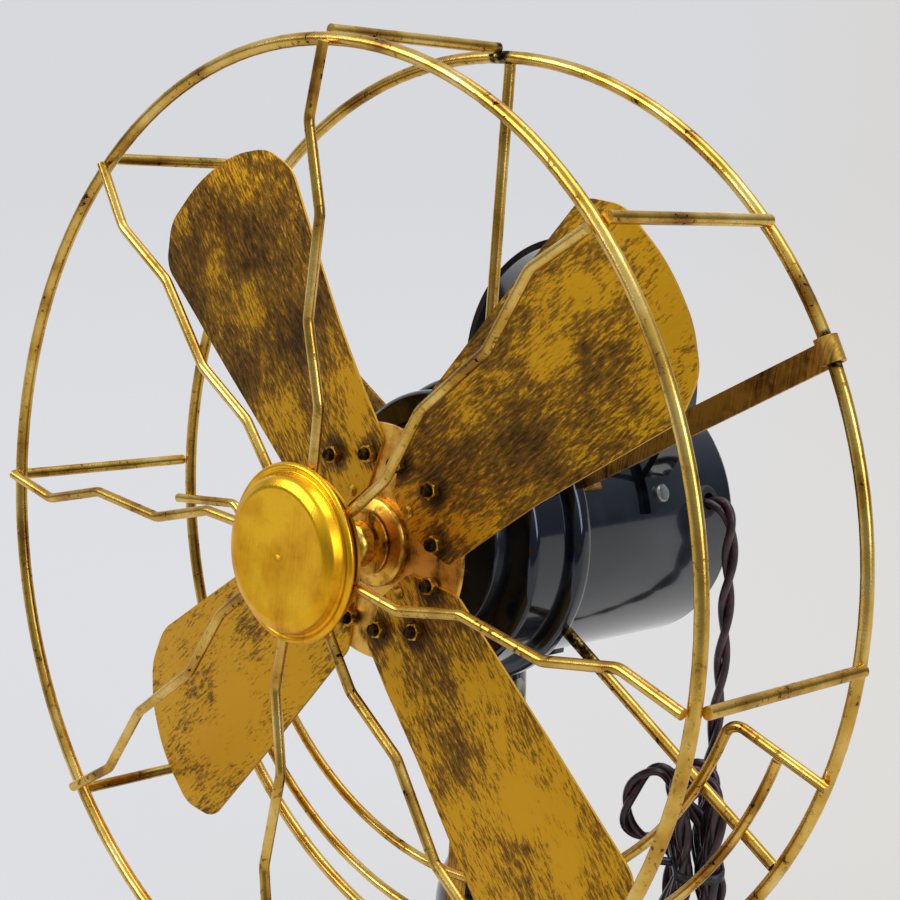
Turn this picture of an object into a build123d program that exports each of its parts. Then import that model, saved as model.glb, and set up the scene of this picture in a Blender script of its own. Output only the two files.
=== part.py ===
from build123d import *
import math
import os

# Antique-style table fan. Millimetres. World frame: X to the right seen from the front, Y to the rear,
# Z up, origin at the middle of the felt under the base, on the axis of the pole.
# The head (guard, blades, motor) is drawn in its own frame: Y along the fan axis to the rear, from the
# plane of the front guard ring, Z up. A clock angle runs clockwise from Z, seen from the front.

# ---- clearances
SEAT = 0.05          # gap at pieces that are fastened to each other
RUN = 0.04           # radial gap of a shaft or pin that turns in its bore
WELD = 0.05          # gap left at a welded joint of two wires

# ---- guard
RING_R = 165.0
REAR_RING_R = 164.0
RING_WIRE = 4.4
REAR_RING_Y = 80.5
STRUT_WIRE = 4.0
STRUT_CLOCKS = (-5.7, 39.8, 89.0, 130.4, 180.5, 221.0, 263.8, 310.7)
STRUT_LAP = 0.15
FRONT_WIRE = 3.6
FRONT_CLOCKS = (-4.6, 40.0, 89.0, 133.0, 178.0, 221.0, 264.0, 311.0)
FRONT_BENDS = ((139.7, -4.9), (110.6, 2.3), (76.0, -1.3), (48.8, 5.7), (30.0, 4.2))
FRONT_TIP_R = RING_R - 0.7
FRONT_INNER_R = 24.0
FRONT_BEND_R = 8.5
FRONT_INNER_Y = -1.2
ROD_WIRE = 4.0
ROD_CLOCKS = (-4.3, 115.6, 235.6)
STRAP_CLOCKS = (55.2, 175.4, 295.0)
STRAP_WIDE = 8.5
STRAP_THICK = 1.3
STRAP_FOOT = 12.0
ARC_WIRE = 3.6
ARC_1_R = 127.0
ARC_1_ENDS = (102.6, 258.4)
ARC_1_TIP_R = REAR_RING_R + 3.0
ARC_2_R = 147.5
ARC_2_ENDS = (103.5, 233.0)
ARC_CORNER_R = 6.0

# ---- guard cap
CAP_R = 30.2
CAP_FACE_R = 22.4
CAP_DEEP = 8.2
CAP_SHEET = 1.0
CAP_DISH = 0.8
CAP_BOSS_R = 4.0
BACK_R = 26.0
BACK_THICK = 1.2
CAP_SCREW_R = 1.5
CAP_SCREW_HEAD_R = 3.6

# ---- blades and hub
BLADE_CLOCK = 44.5
BLADES = 4
BLADE_SHEET = 0.9
BLADE_CONE = -0.025
BLADE_TWIST = 5.0
BLADE_CAMBER = 2.0
BLADE_FLAT_TO = 44.0
# points (out from the axis, clockwise) and the radius of each corner
BLADE_TIP_R = 156.0
BLADE_OUTLINE = (
    (17.0, -8.0, 4.0), (34.3, -24.0, 8.0), (90.0, -33.0, 150.0), (141.0, -40.5, 10.0), (152.5, -29.0, 14.0),
    (BLADE_TIP_R, -6.0, 60.0), (152.5, 13.0, 35.0), (145.0, 26.5, 16.0), (131.0, 33.8, 16.0),
    (70.0, 26.6, 60.0), (26.2, 24.0, 3.0), (17.0, 8.0, 4.0),
)
SPIDER_R = 40.5
SPIDER_THICK = 1.5
SPIDER_Y = 33.0
BOLT_R = 2.0
BOLT_SPOTS = ((25.5, -15.5), (25.5, 15.5), (34.5, 0.0))
NUT_FLATS = 7.0
NUT_THICK = 3.2
BOLT_HEAD_R = 3.6
BOLT_HEAD_THICK = 2.2
BOLT_PROUD = 1.2
RIVET_SPOT = (20.0, 0.0)
RIVET_R = 1.4
RIVET_HEAD_R = 2.2
BOSS_R = 15.5
BOSS_DEEP = 6.0
HUB_NUT_R = 8.0
HUB_NUT_LONG = 9.5
SHAFT_R = 4.0

# ---- motor
SHELL_R = 48.0
SHELL_WALL = 2.0
SHELL_FRONT_Y = 71.0
SHELL_REAR_Y = 164.5
HOLE_IN = 8.0         # how far a hole's cutter reaches in and out from the shell's outside
HOLE_OUT = 12.0
BELL_WALL = 1.75
BELL_FACE_Y = 57.6
BELL_END_Y = 79.0
BELL_STEP_R = 36.0
BELL_STEP = 4.0
NOSE_R = 13.0
NOSE_Y = 45.0
BEARING_R = 8.0
BEARING_LONG = 12.0
CLAMP_R = SHELL_R + 6.0
CLAMP_Y = 75.0
CLAMP_WIDE = 8.0
COVER_DOME = 7.0
CORE_FRONT_Y = 92.0
CORE_LONG = 38.0
STATOR_BORE_R = 22.5
YOKE_R = SHELL_R - 10.0
POLE_WIDE = 20.0
COIL_WIDE = 30.0
COIL_OUT = (24.5, 34.0)
COIL_LONG = 54.0
AIR_GAP = 0.5
COVER_SCREWS = 3
COVER_SCREW_PCD_R = SHELL_R - 8.0

# ---- carry handle
HANDLE_Y = 117.0
HANDLE_WIDE = 13.0
HANDLE_THICK = 2.5
HANDLE_R = SHELL_R + 2.5
HANDLE_Z = SHELL_R + 4.5
HANDLE_FOOT_CLOCK = 73.0
HANDLE_SCREW_CLOCK = 65.5
SMALL_SCREW_R = 1.5
SMALL_HEAD_R = 3.2

# ---- cord outlet
OUTLET_CLOCK = 71.4
OUTLET_Y = 150.0
CORD = 6.0
OUTLET_BORE = CORD / 2 + 0.1
GROMMET_R = OUTLET_BORE + 2.9
GROMMET_NECK = OUTLET_BORE + 1.3

# ---- stand
PIVOT_Z = 152.0
AXIS_ABOVE_PIVOT = SHELL_R + 14.0
PIVOT_BEHIND_RING = 102.0
HEAD_UP = 10.0
POLE_R = 11.6
POLE_BORE = 8.0
POLE_TOP = 126.0
FORK_TOP = 8.0
FORK_SLOT = 8.0
FORK_SLOT_DEEP = 14.0
FORK_ROUND = 10.6
SPIGOT_LONG = 20.0
LUG_EYE_R = 9.0
LUG_SIDE_GAP = 0.1
SADDLE_THICK = 3.0
SADDLE_WIDE = 24.0
SADDLE_LONG = 28.0
SADDLE_BEHIND = 8.0
TILT_BOLT_R = 3.0
TILT_HEAD_R = 5.5
TILT_HEAD_THICK = 2.0
TILT_BOLT_LEFT = 27.0
KNOB_R = 11.0
KNOB_THICK = 13.0
KNOB_FLUTES = 8
KNOB_FLUTE_R = 2.6
BASE_R = 78.0
BASE_WALL = 3.0
COLLAR_R = 22.4
COLLAR_TOP = 85.0
COLLAR_FOOT = 40.0
FLARE_MID = (42.0, 18.0)
SHOULDER_FOOT = 56.0
SHOULDER_MID = (20.5, 69.5)
SHOULDER_TOP_R = 12.6
RIM_HIGH = 6.0
FELT = 1.5
FELT_R = 70.0
PLATE_THICK = 1.5
BASE_SCREWS = 4
BASE_SCREW_PCD_R = 60.0
POST_R = 4.5
POST_TOP = 7.0
STUD_R = 8.0
POLE_NUT_FLATS = 24.0
POLE_NUT_THICK = 7.0

# ---- cord, in world coordinates
DROP_OUT_R = (SHELL_R - 0.5, SHELL_R + 7.0)
DROP_ROUTE = (
    (57.6, 61.2, 217.0), (58.3, 61.2, 206.0), (57.4, 61.5, 186.0), (57.0, 61.2, 161.0), (54.8, 61.8, 134.0),
)
HANK_X = 55.0
HANK_Y = 55.3
HANK_TURN = 46.0
HANK_WAIST_Z = 85.0
HANK_LOOPS = 6
HANK_STEP = 7.4
HANK_HALF_WAIST = 3.5
HANK_TOP_LONG = 37.0
HANK_FOOT_LONG = 46.0
HANK_HALF_LOOP = 12.0
HANK_LEAD = 14.0
TIE_HIGH = 3.0
TIE_THICK = 1.0
PLUG_R = 14.0
PLUG_LONG = 34.0
PLUG_NECK_R = 6.5
PIN_R = 2.0
PIN_LONG = 19.0
PIN_APART = 19.0

os.makedirs("parts", exist_ok=True)

HEAD = Pos(0, 0, PIVOT_Z) * Rot(-HEAD_UP, 0, 0) * Pos(0, -PIVOT_BEHIND_RING, AXIS_ABOVE_PIVOT)


# ---- helpers
def write(name, shape):
    """Write one node, given in the world frame."""
    export_step(shape, "parts/" + name + ".step")


def head(name, shape):
    """Write one node that is drawn in the head's frame."""
    write(name, HEAD * shape)


def clock(angle):
    """Turn a piece drawn at twelve o'clock to another clock angle of the head."""
    return Rot(0, angle, 0)


def group(pieces):
    """Several separate solids of one node."""
    return Compound(children=list(pieces))


def rod(start, end, diameter):
    """Straight round rod between two points."""
    a = Vector(*start)
    b = Vector(*end)
    return Plane(origin=a, z_dir=b - a) * Cylinder(
        diameter / 2, (b - a).length, align=(Align.CENTER, Align.CENTER, Align.MIN))


def outline(corners):
    """Flat face of a closed outline of (x, y, corner radius), where the radius may be left out."""
    points = [(c[0], c[1]) for c in corners]
    radii = [c[2] if len(c) > 2 else 0 for c in corners]
    if any(radii):
        return make_face(FilletPolyline(*points, radius=radii, close=True).edges())
    return make_face(Polyline(*points, close=True).edges())


def spun(*corners):
    """Solid of revolution about the fan axis of an outline of (radius, y, corner radius)."""
    return revolve(outline(corners), Axis.Y)


def tube(path, diameter):
    """Round wire along a path that starts straight."""
    plane = Plane(origin=path @ 0, z_dir=path % 0)
    return sweep(plane * Circle(diameter / 2), path=path)


def drill_y(x, z, radius, y0, y1):
    """Cylinder along Y, used as a hole or a shank."""
    return rod((x, y0, z), (x, y1, z), 2 * radius)


def nut_prism(flats, thick):
    """Hexagon prism along Z from the origin."""
    return extrude(RegularPolygon(flats / 2, 6, major_radius=False), thick)


# ---- guard
def ring(radius, wire, y):
    return Pos(0, y, 0) * Rot(90, 0, 0) * Torus(radius, wire / 2)


def front_wire_y(radius):
    """The front wires lie on the front ring and lean back to the cap's plate."""
    at_ring = -(RING_WIRE + FRONT_WIRE) / 2 - WELD
    share = (RING_R - radius) / (RING_R - FRONT_INNER_R)
    return at_ring + share * (FRONT_INNER_Y - at_ring)


def front_wire():
    stations = ((FRONT_TIP_R, 0.5),) + FRONT_BENDS + ((FRONT_INNER_R, FRONT_BENDS[-1][1] - 1.0),)
    points = [(side, front_wire_y(radius), radius) for radius, side in stations]
    return tube(FilletPolyline(*points, radius=FRONT_BEND_R), FRONT_WIRE)


def strut():
    """Strut from the outer rear corner of the front ring to the outer front corner of the rear ring."""
    reach = RING_WIRE / 2 + WELD
    inset = reach - STRUT_LAP
    outside = math.sqrt(reach ** 2 - inset ** 2) + STRUT_WIRE / 2
    return rod((0, inset, RING_R + outside), (0, REAR_RING_Y - inset, REAR_RING_R + outside), STRUT_WIRE)


def rear_rod():
    inner = CLAMP_R + SEAT
    outer = REAR_RING_R - RING_WIRE / 2 - WELD
    return rod((0, REAR_RING_Y, inner), (0, REAR_RING_Y, outer), ROD_WIRE)


STRAP_Y = CLAMP_Y + CLAMP_WIDE + SEAT


def strap():
    """Flat strap, its outer end rolled forward round the ring and its foot on the shell."""
    hook = STRAP_Y - REAR_RING_Y
    outer = hook + STRAP_THICK
    seat = SHELL_R + SEAT
    blade = outline((
        (seat, STRAP_Y, 0), (REAR_RING_R, STRAP_Y, 0), (REAR_RING_R, STRAP_Y + STRAP_THICK, 0),
        (seat + STRAP_THICK, STRAP_Y + STRAP_THICK, 1.0), (seat + STRAP_THICK, STRAP_Y + STRAP_FOOT, 0),
        (seat, STRAP_Y + STRAP_FOOT, 0)))
    half = Pos(REAR_RING_R + outer, REAR_RING_Y) * Rectangle(2 * outer, 4 * outer)
    roll = Pos(REAR_RING_R, REAR_RING_Y) * (Circle(outer) - Circle(hook)) & half
    lip = Pos(REAR_RING_R - 1.0, REAR_RING_Y - hook - STRAP_THICK / 2) * Rectangle(2.0, STRAP_THICK)
    flat = Plane(origin=(0, 0, 0), x_dir=(0, 0, 1), z_dir=(-1, 0, 0)) * (blade + roll + lip)
    body = extrude(flat, STRAP_WIDE / 2, both=True)
    body -= Cylinder(SHELL_R + SEAT, 400, rotation=(90, 0, 0))
    hole = rod((0, STRAP_Y + STRAP_FOOT * 0.6, SHELL_R - 5), (0, STRAP_Y + STRAP_FOOT * 0.6, SHELL_R + 9),
               2 * (SMALL_SCREW_R + SEAT))
    return body - hole


def pan_screw(seat_r):
    """Small screw that points at the fan axis, from its seat through the shell's wall."""
    top = Pos(0, 0, seat_r) * Cylinder(SMALL_HEAD_R, 1.8, align=(Align.CENTER, Align.CENTER, Align.MIN))
    top = chamfer(top.edges().filter_by(GeomType.CIRCLE).sort_by(Axis.Z)[-1], 0.6)
    tip = SHELL_R - SHELL_WALL + 0.4
    shank = rod((0, 0, tip), (0, 0, seat_r), 2 * SMALL_SCREW_R)
    return top + shank


def arc_wire(radius, first, last, first_tip, last_tip, y):
    """Arc about the fan axis with a straight leg out at each end that has a tip radius."""
    def at(r, angle):
        a = math.radians(angle)
        return (r * math.sin(a), y, r * math.cos(a))
    edges = []
    start, end = first, last
    corner = radius + ARC_CORNER_R
    side = math.degrees(math.asin(ARC_CORNER_R / corner))
    foot = corner * math.cos(math.radians(side))
    if first_tip:
        start = first + side
        centre = Vector(*at(corner, start))
        leg = Vector(*at(foot, first))
        touch = Vector(*at(radius, start))
        between = (leg - centre).normalized() + (touch - centre).normalized()
        mid = centre + between.normalized() * ARC_CORNER_R
        edges += [Line(at(first_tip, first), leg), ThreePointArc(leg, mid, touch)]
    arc_at = len(edges)
    if last_tip:
        end = last - side
    edges.append(ThreePointArc(at(radius, start), at(radius, (start + end) / 2), at(radius, end)))
    if last_tip:
        centre = Vector(*at(corner, end))
        leg = Vector(*at(foot, last))
        touch = Vector(*at(radius, end))
        between = (leg - centre).normalized() + (touch - centre).normalized()
        mid = centre + between.normalized() * ARC_CORNER_R
        edges += [ThreePointArc(touch, mid, leg), Line(leg, at(last_tip, last))]
    path = Wire([e.edges()[0] for e in edges])
    return tube(path, ARC_WIRE)


def guard_cap():
    """Pressed lid with a beaded rim, a groove inside the bead and a slightly dished face."""
    rim_y = front_wire_y(CAP_R - 1.7) - FRONT_WIRE / 2 - SEAT
    face_y = rim_y - CAP_DEEP
    skin = spun(
        (0, face_y + CAP_DISH, 0), (CAP_FACE_R - 6, face_y + 0.2, 12), (CAP_FACE_R, face_y, 3.0),
        (CAP_R - 4.6, face_y + 1.6, 2.4), (CAP_R - 3.4, rim_y - 2.2, 0.8), (CAP_R - 1.2, rim_y - 3.3, 1.3),
        (CAP_R, rim_y - 1.6, 1.0), (CAP_R - 1.2, rim_y, 0.6), (CAP_R - 4.4, rim_y - 0.6, 0.8),
        (CAP_R - 5.6, face_y + 2.6, 1.4), (CAP_FACE_R - 0.4, face_y + CAP_SHEET, 2.0),
        (CAP_FACE_R - 6, face_y + CAP_SHEET + 0.2, 12), (0, face_y + CAP_DISH + CAP_SHEET, 0))
    boss_top = face_y + CAP_DISH + CAP_SHEET / 2
    boss_end = FRONT_INNER_Y + FRONT_WIRE / 2
    boss = drill_y(0, 0, CAP_BOSS_R, boss_top, boss_end)
    return skin + boss - drill_y(0, 0, CAP_SCREW_R + SEAT, boss_end - 6.0, boss_end)


def cap_back():
    front = FRONT_INNER_Y + FRONT_WIRE / 2 + SEAT
    return drill_y(0, 0, BACK_R, front, front + BACK_THICK) - drill_y(0, 0, CAP_SCREW_R + SEAT, front, 9)


def cap_screw():
    seat = FRONT_INNER_Y + FRONT_WIRE / 2 + 2 * SEAT + BACK_THICK
    top = spun(
        (0, seat, 0), (CAP_SCREW_HEAD_R, seat, 0), (CAP_SCREW_HEAD_R, seat + 2.2, 1.0), (0, seat + 2.2, 0))
    return top + drill_y(0, 0, CAP_SCREW_R, seat - 6.5, seat)


# ---- blades and hub
BLADE_BACK = SPIDER_Y - SEAT


def blade_section(radius):
    """Cambered and twisted cross-section of the blade sheet at one radius, wider than the blade."""
    wide = 44.0
    share = max(0.0, (radius - BLADE_FLAT_TO) / (BLADE_TIP_R - BLADE_FLAT_TO))
    bow = BLADE_CAMBER * share
    slope = math.tan(math.radians(BLADE_TWIST * share))
    back = BLADE_BACK - BLADE_CONE * max(0.0, radius - BLADE_FLAT_TO)
    front = back - BLADE_SHEET

    def at(x, y):
        return (x, y + slope * x, radius)
    if bow == 0:
        return Polyline(at(-wide, front), at(wide, front), at(wide, back), at(-wide, back), close=True)
    edges = [
        ThreePointArc(at(-wide, front + bow), at(0, front), at(wide, front + bow)),
        Line(at(wide, front + bow), at(wide, back + bow)),
        ThreePointArc(at(wide, back + bow), at(0, back), at(-wide, back + bow)),
        Line(at(-wide, back + bow), at(-wide, front + bow)),
    ]
    return Wire([e.edges()[0] for e in edges])


def blade():
    faces = []
    for radius in (10.0, BLADE_FLAT_TO, 82.0, 120.0, BLADE_TIP_R + 5.0):
        faces.append(Face(blade_section(radius)))
    sheet = loft(faces, ruled=True)
    plan = outline([(side, out, radius) for out, side, radius in BLADE_OUTLINE])
    cutter = extrude(Plane(origin=(0, 0, 0), x_dir=(1, 0, 0), z_dir=(0, -1, 0)) * plan, 60, both=True)
    body = sheet & cutter
    for out, side in BOLT_SPOTS:
        body -= drill_y(side, out, BOLT_R + SEAT, 0, 60)
    return body - drill_y(RIVET_SPOT[1], RIVET_SPOT[0], RIVET_R + SEAT, 0, 60)


def blade_places():
    return [clock(BLADE_CLOCK + 360.0 / BLADES * k) for k in range(BLADES)]


def spider_disc():
    disc = drill_y(0, 0, SPIDER_R, SPIDER_Y, SPIDER_Y + SPIDER_THICK) - drill_y(0, 0, SHAFT_R + SEAT, 0, 60)
    for place in blade_places():
        for out, side in BOLT_SPOTS:
            disc -= place * drill_y(side, out, BOLT_R + SEAT, 0, 60)
        disc -= place * drill_y(RIVET_SPOT[1], RIVET_SPOT[0], RIVET_R + SEAT, 0, 60)
    return disc


NUT_SEAT = BLADE_BACK - BLADE_SHEET - SEAT
BOLT_SEAT = SPIDER_Y + SPIDER_THICK + SEAT


def blade_bolt():
    tip = NUT_SEAT - NUT_THICK - BOLT_PROUD
    end = BOLT_SEAT + BOLT_HEAD_THICK
    return spun((0, tip), (BOLT_R - 0.4, tip), (BOLT_R, tip + 0.4), (BOLT_R, BOLT_SEAT),
                (BOLT_HEAD_R, BOLT_SEAT), (BOLT_HEAD_R, end - 0.7), (BOLT_HEAD_R - 0.7, end), (0, end))


def blade_nut():
    prism = Pos(0, NUT_SEAT, 0) * Rot(90, 0, 0) * nut_prism(NUT_FLATS, NUT_THICK)
    corner = NUT_FLATS / math.sqrt(3) + 0.4
    cone = spun((0, NUT_SEAT + 1, 0), (corner, NUT_SEAT + 1, 0), (corner, NUT_SEAT - NUT_THICK + 0.7, 0),
                (NUT_FLATS / 2 - 0.1, NUT_SEAT - NUT_THICK, 0), (0, NUT_SEAT - NUT_THICK, 0))
    return (prism & cone) - drill_y(0, 0, BOLT_R + SEAT, 0, 60)


def blade_rivet():
    front = NUT_SEAT - 1.1
    return spun((0, front), (RIVET_HEAD_R - 0.8, front), (RIVET_HEAD_R, NUT_SEAT - 0.3),
                (RIVET_HEAD_R, NUT_SEAT), (RIVET_R, NUT_SEAT), (RIVET_R, BOLT_SEAT), (RIVET_HEAD_R, BOLT_SEAT),
                (RIVET_HEAD_R - 0.4, BOLT_SEAT + 0.8), (0, BOLT_SEAT + 0.8))


def hub_boss():
    """Turned boss in front of the disc, with a waist and a bead under the dome nut."""
    back = SPIDER_Y - SEAT
    front = back - BOSS_DEEP
    bore = SHAFT_R + SEAT
    return spun((bore, back, 0), (BOSS_R, back, 0), (BOSS_R, back - 2.6, 1.6), (BOSS_R - 4.2, back - 4.2, 2.0),
                (BOSS_R - 5.9, back - 4.5, 0), (BOSS_R - 5.9, back - 4.9, 0), (BOSS_R - 4.4, front + 1.1, 0.5),
                (BOSS_R - 4.4, front, 0.4), (bore, front, 0))


HUB_NUT_Y = SPIDER_Y - 2 * SEAT - BOSS_DEEP


def hub_nut():
    """Polished dome nut on the end of the shaft."""
    front = HUB_NUT_Y - HUB_NUT_LONG
    body = spun((0, HUB_NUT_Y, 0), (HUB_NUT_R - 1.2, HUB_NUT_Y, 0), (HUB_NUT_R, HUB_NUT_Y - 2.2, 1.2),
                (HUB_NUT_R - 0.6, front + 1.4, 4.6), (3.0, front, 1.5), (0, front, 0))
    return body - drill_y(0, 0, SHAFT_R + SEAT, HUB_NUT_Y - 5.0, HUB_NUT_Y)


SHAFT_FRONT_Y = HUB_NUT_Y - 4.8
REAR_BEARING_Y = SHELL_REAR_Y - 14.0


def shaft():
    tail = REAR_BEARING_Y + BEARING_LONG
    return drill_y(0, 0, SHAFT_R, SHAFT_FRONT_Y, tail)


def rotor_core():
    radius = STATOR_BORE_R - AIR_GAP
    core = drill_y(0, 0, radius, CORE_FRONT_Y, CORE_FRONT_Y + CORE_LONG)
    return core - drill_y(0, 0, SHAFT_R + SEAT, 0, 200)


# ---- motor
def motor_shell():
    body = drill_y(0, 0, SHELL_R, SHELL_FRONT_Y, SHELL_REAR_Y)
    body -= drill_y(0, 0, SHELL_R - SHELL_WALL, 0, 300)
    neck = GROMMET_NECK + SEAT
    low, high = SHELL_R - HOLE_IN, SHELL_R + HOLE_OUT
    body -= clock(OUTLET_CLOCK) * rod((0, OUTLET_Y, low), (0, OUTLET_Y, high), 2 * neck)
    for place, y in shell_screw_places():
        body -= place * rod((0, y, low), (0, y, high), 2 * (SMALL_SCREW_R + SEAT))
    for x, y in saddle_screw_spots():
        body -= rod((x, y, -SHELL_R - HOLE_OUT), (x, y, HOLE_IN - SHELL_R), 2 * (SMALL_SCREW_R + SEAT))
    return body


def shell_screw_places():
    """Screws in the shell: one to a strap foot and one to each handle foot."""
    spots = [(clock(c), STRAP_Y + STRAP_FOOT * 0.6) for c in STRAP_CLOCKS]
    for side in (-1, 1):
        spots.append((clock(side * HANDLE_SCREW_CLOCK), HANDLE_Y + HANDLE_WIDE / 2))
    return spots


def front_bell():
    """Pressed front bell: band over the shell, stepped face and bearing nose."""
    outer = SHELL_R + SEAT + BELL_WALL
    inner = SHELL_R + SEAT
    step_y = BELL_FACE_Y - BELL_STEP
    wall = BELL_WALL
    body = spun(
        (inner, BELL_END_Y, 0), (outer, BELL_END_Y, 0), (outer, BELL_FACE_Y, 3.0), (BELL_STEP_R + 4, BELL_FACE_Y, 0),
        (BELL_STEP_R + 3.2, BELL_FACE_Y + 0.9, 0), (BELL_STEP_R + 1.4, BELL_FACE_Y + 0.9, 0),
        (BELL_STEP_R, step_y, 1.2), (NOSE_R + 7, step_y - 2.0, 3.0), (NOSE_R, step_y - 3.0, 1.5),
        (NOSE_R - 0.6, NOSE_Y, 1.4), (BEARING_R + SEAT, NOSE_Y, 0), (BEARING_R + SEAT, step_y + 3.5, 0),
        (NOSE_R, step_y + 3.5, 0), (BELL_STEP_R - 1.0, step_y + wall + 0.6, 0),
        (BELL_STEP_R + 0.4, BELL_FACE_Y + 0.9 + wall, 0), (inner, BELL_FACE_Y + 0.9 + wall, 0))
    return body


def clamp_ring():
    """Rolled ring over the end of the bell's band and onto the shell."""
    inner = SHELL_R + SEAT
    over = inner + BELL_WALL + SEAT
    rear = CLAMP_Y + CLAMP_WIDE
    return spun((over, CLAMP_Y, 0), (CLAMP_R, CLAMP_Y, 3.2), (CLAMP_R, rear, 3.2), (inner, rear, 0),
                (inner, BELL_END_Y + SEAT, 0), (over, BELL_END_Y + SEAT, 0))


def rear_cover():
    """Lid with a spigot in the shell, a shallow dome and a bearing housing inside."""
    spigot = SHELL_R - SHELL_WALL - SEAT
    y = SHELL_REAR_Y + SEAT
    rim = y + 2.0
    house = BEARING_R + SEAT
    end = REAR_BEARING_Y + BEARING_LONG + 1.0
    body = spun(
        (spigot, y - 5, 0), (spigot, y, 0), (SHELL_R, y, 0), (SHELL_R, rim, 1.5), (NOSE_R + 9, y + COVER_DOME, 30),
        (NOSE_R, y + COVER_DOME + 0.5, 2.0), (NOSE_R - 0.8, y + COVER_DOME + 3.0, 1.5), (0, y + COVER_DOME + 3.0, 0),
        (0, end, 0), (house, end, 0), (house, REAR_BEARING_Y, 0), (NOSE_R, REAR_BEARING_Y, 0),
        (NOSE_R, y + COVER_DOME - 4.5, 1.0), (NOSE_R + 9, y + COVER_DOME - 5.0, 0),
        (spigot - 2.0, y - 0.2, 0), (spigot - 2.0, y - 5, 0))
    for k in range(COVER_SCREWS):
        hole = drill_y(0, COVER_SCREW_PCD_R, SMALL_SCREW_R + SEAT, y - 9, y + 12)
        body -= clock(60 + 360 / COVER_SCREWS * k) * hole
    return body


def cover_screws():
    """Three long screws with heads on the lid, which pull the lid and the stator together."""
    seat = SHELL_REAR_Y + SEAT + 4.6
    tip = CORE_FRONT_Y + CORE_LONG - 12.0
    screws = []
    for k in range(COVER_SCREWS):
        one = spun((0, tip), (SMALL_SCREW_R, tip), (SMALL_SCREW_R, seat), (SMALL_HEAD_R, seat),
                   (SMALL_HEAD_R, seat + 1.4), (SMALL_HEAD_R - 0.8, seat + 2.2), (0, seat + 2.2))
        screws.append(clock(60 + 360 / COVER_SCREWS * k) * Pos(0, 0, COVER_SCREW_PCD_R) * one)
    return group(screws)


def stator_core():
    """Round yoke with four poles about the rotor."""
    y0, y1 = CORE_FRONT_Y, CORE_FRONT_Y + CORE_LONG
    body = drill_y(0, 0, SHELL_R - SHELL_WALL - SEAT, y0, y1) - drill_y(0, 0, YOKE_R, 0, 300)
    for k in range(4):
        pole = Pos(0, (y0 + y1) / 2, (STATOR_BORE_R + YOKE_R) / 2 + 0.5) * Box(
            POLE_WIDE, CORE_LONG, YOKE_R - STATOR_BORE_R + 2.0)
        body += clock(45 + 90 * k) * pole
    body -= drill_y(0, 0, STATOR_BORE_R, 0, 300)
    for k in range(COVER_SCREWS):
        hole = drill_y(0, COVER_SCREW_PCD_R, SMALL_SCREW_R + SEAT, 0, 300)
        body -= clock(60 + 360 / COVER_SCREWS * k) * hole
    return body


def stator_coils():
    """One wound coil round each pole."""
    inner, outer = COIL_OUT
    coils = []
    for k in range(4):
        ring_part = Box(COIL_WIDE, COIL_LONG, outer - inner)
        ring_part = fillet(ring_part.edges().filter_by(Axis.Z), 5.0)
        ring_part -= Box(POLE_WIDE + 2 * SEAT, CORE_LONG + 2 * SEAT, outer)
        place = clock(45 + 90 * k) * Pos(0, CORE_FRONT_Y + CORE_LONG / 2, (inner + outer) / 2)
        coils.append(place * ring_part)
    return group(coils)


def bearing(y):
    return drill_y(0, 0, BEARING_R, y, y + BEARING_LONG) - drill_y(0, 0, SHAFT_R + RUN, 0, 300)


def grommet():
    """Flanged bush in the shell where the cord leaves."""
    seat = SHELL_R + SEAT
    inside = SHELL_R - SHELL_WALL - 1.2
    profile = outline((
        (OUTLET_BORE, inside - 1.5, 0), (GROMMET_NECK + 1.0, inside - 1.5, 0), (GROMMET_NECK + 1.0, inside, 0),
        (GROMMET_NECK, inside, 0), (GROMMET_NECK, seat, 0), (GROMMET_R, seat, 0), (GROMMET_R, seat + 2.4, 1.6),
        (OUTLET_BORE, seat + 2.4, 0)))
    bush = revolve(Plane.XZ * profile, Axis.Z)
    return clock(OUTLET_CLOCK) * Pos(0, OUTLET_Y, 0) * bush


# ---- carry handle
def carry_handle():
    """Strap bent to an arch over the motor, each foot lying along the shell."""
    seat = SHELL_R + SEAT
    arch = Pos(0, HANDLE_Z) * (Circle(HANDLE_R) - Circle(HANDLE_R - HANDLE_THICK))
    arch -= Pos(0, -200) * Rectangle(400, 2 * (200 + 20))
    arch -= Circle(seat)
    band = Circle(seat + HANDLE_THICK) - Circle(seat)
    reach = HANDLE_FOOT_CLOCK
    join = 52.0
    wedges = []
    for side in (-1, 1):
        a = math.radians(reach)
        b = math.radians(join)
        wedge = make_face(Polyline(
            (0, 0), (side * 99 * math.sin(b), 99 * math.cos(b)), (side * 99 * math.sin(a), 99 * math.cos(a)),
            close=True).edges())
        wedges.append(band & wedge)
    flat = arch + wedges[0] + wedges[1]
    body = extrude(Plane(origin=(0, HANDLE_Y, 0), x_dir=(1, 0, 0), z_dir=(0, -1, 0)) * flat, -HANDLE_WIDE)
    middle = HANDLE_Y + HANDLE_WIDE / 2
    for side in (-1, 1):
        body -= clock(side * HANDLE_SCREW_CLOCK) * rod(
            (0, middle, SHELL_R - HOLE_IN), (0, middle, SHELL_R + HOLE_OUT), 2 * (SMALL_SCREW_R + SEAT))
    return body


# ---- tilt joint
def saddle_screw_spots():
    middle = PIVOT_BEHIND_RING + SADDLE_BEHIND
    return [(side * 8.0, middle + end * 9.5) for side in (-1, 1) for end in (-1, 1)]


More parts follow.
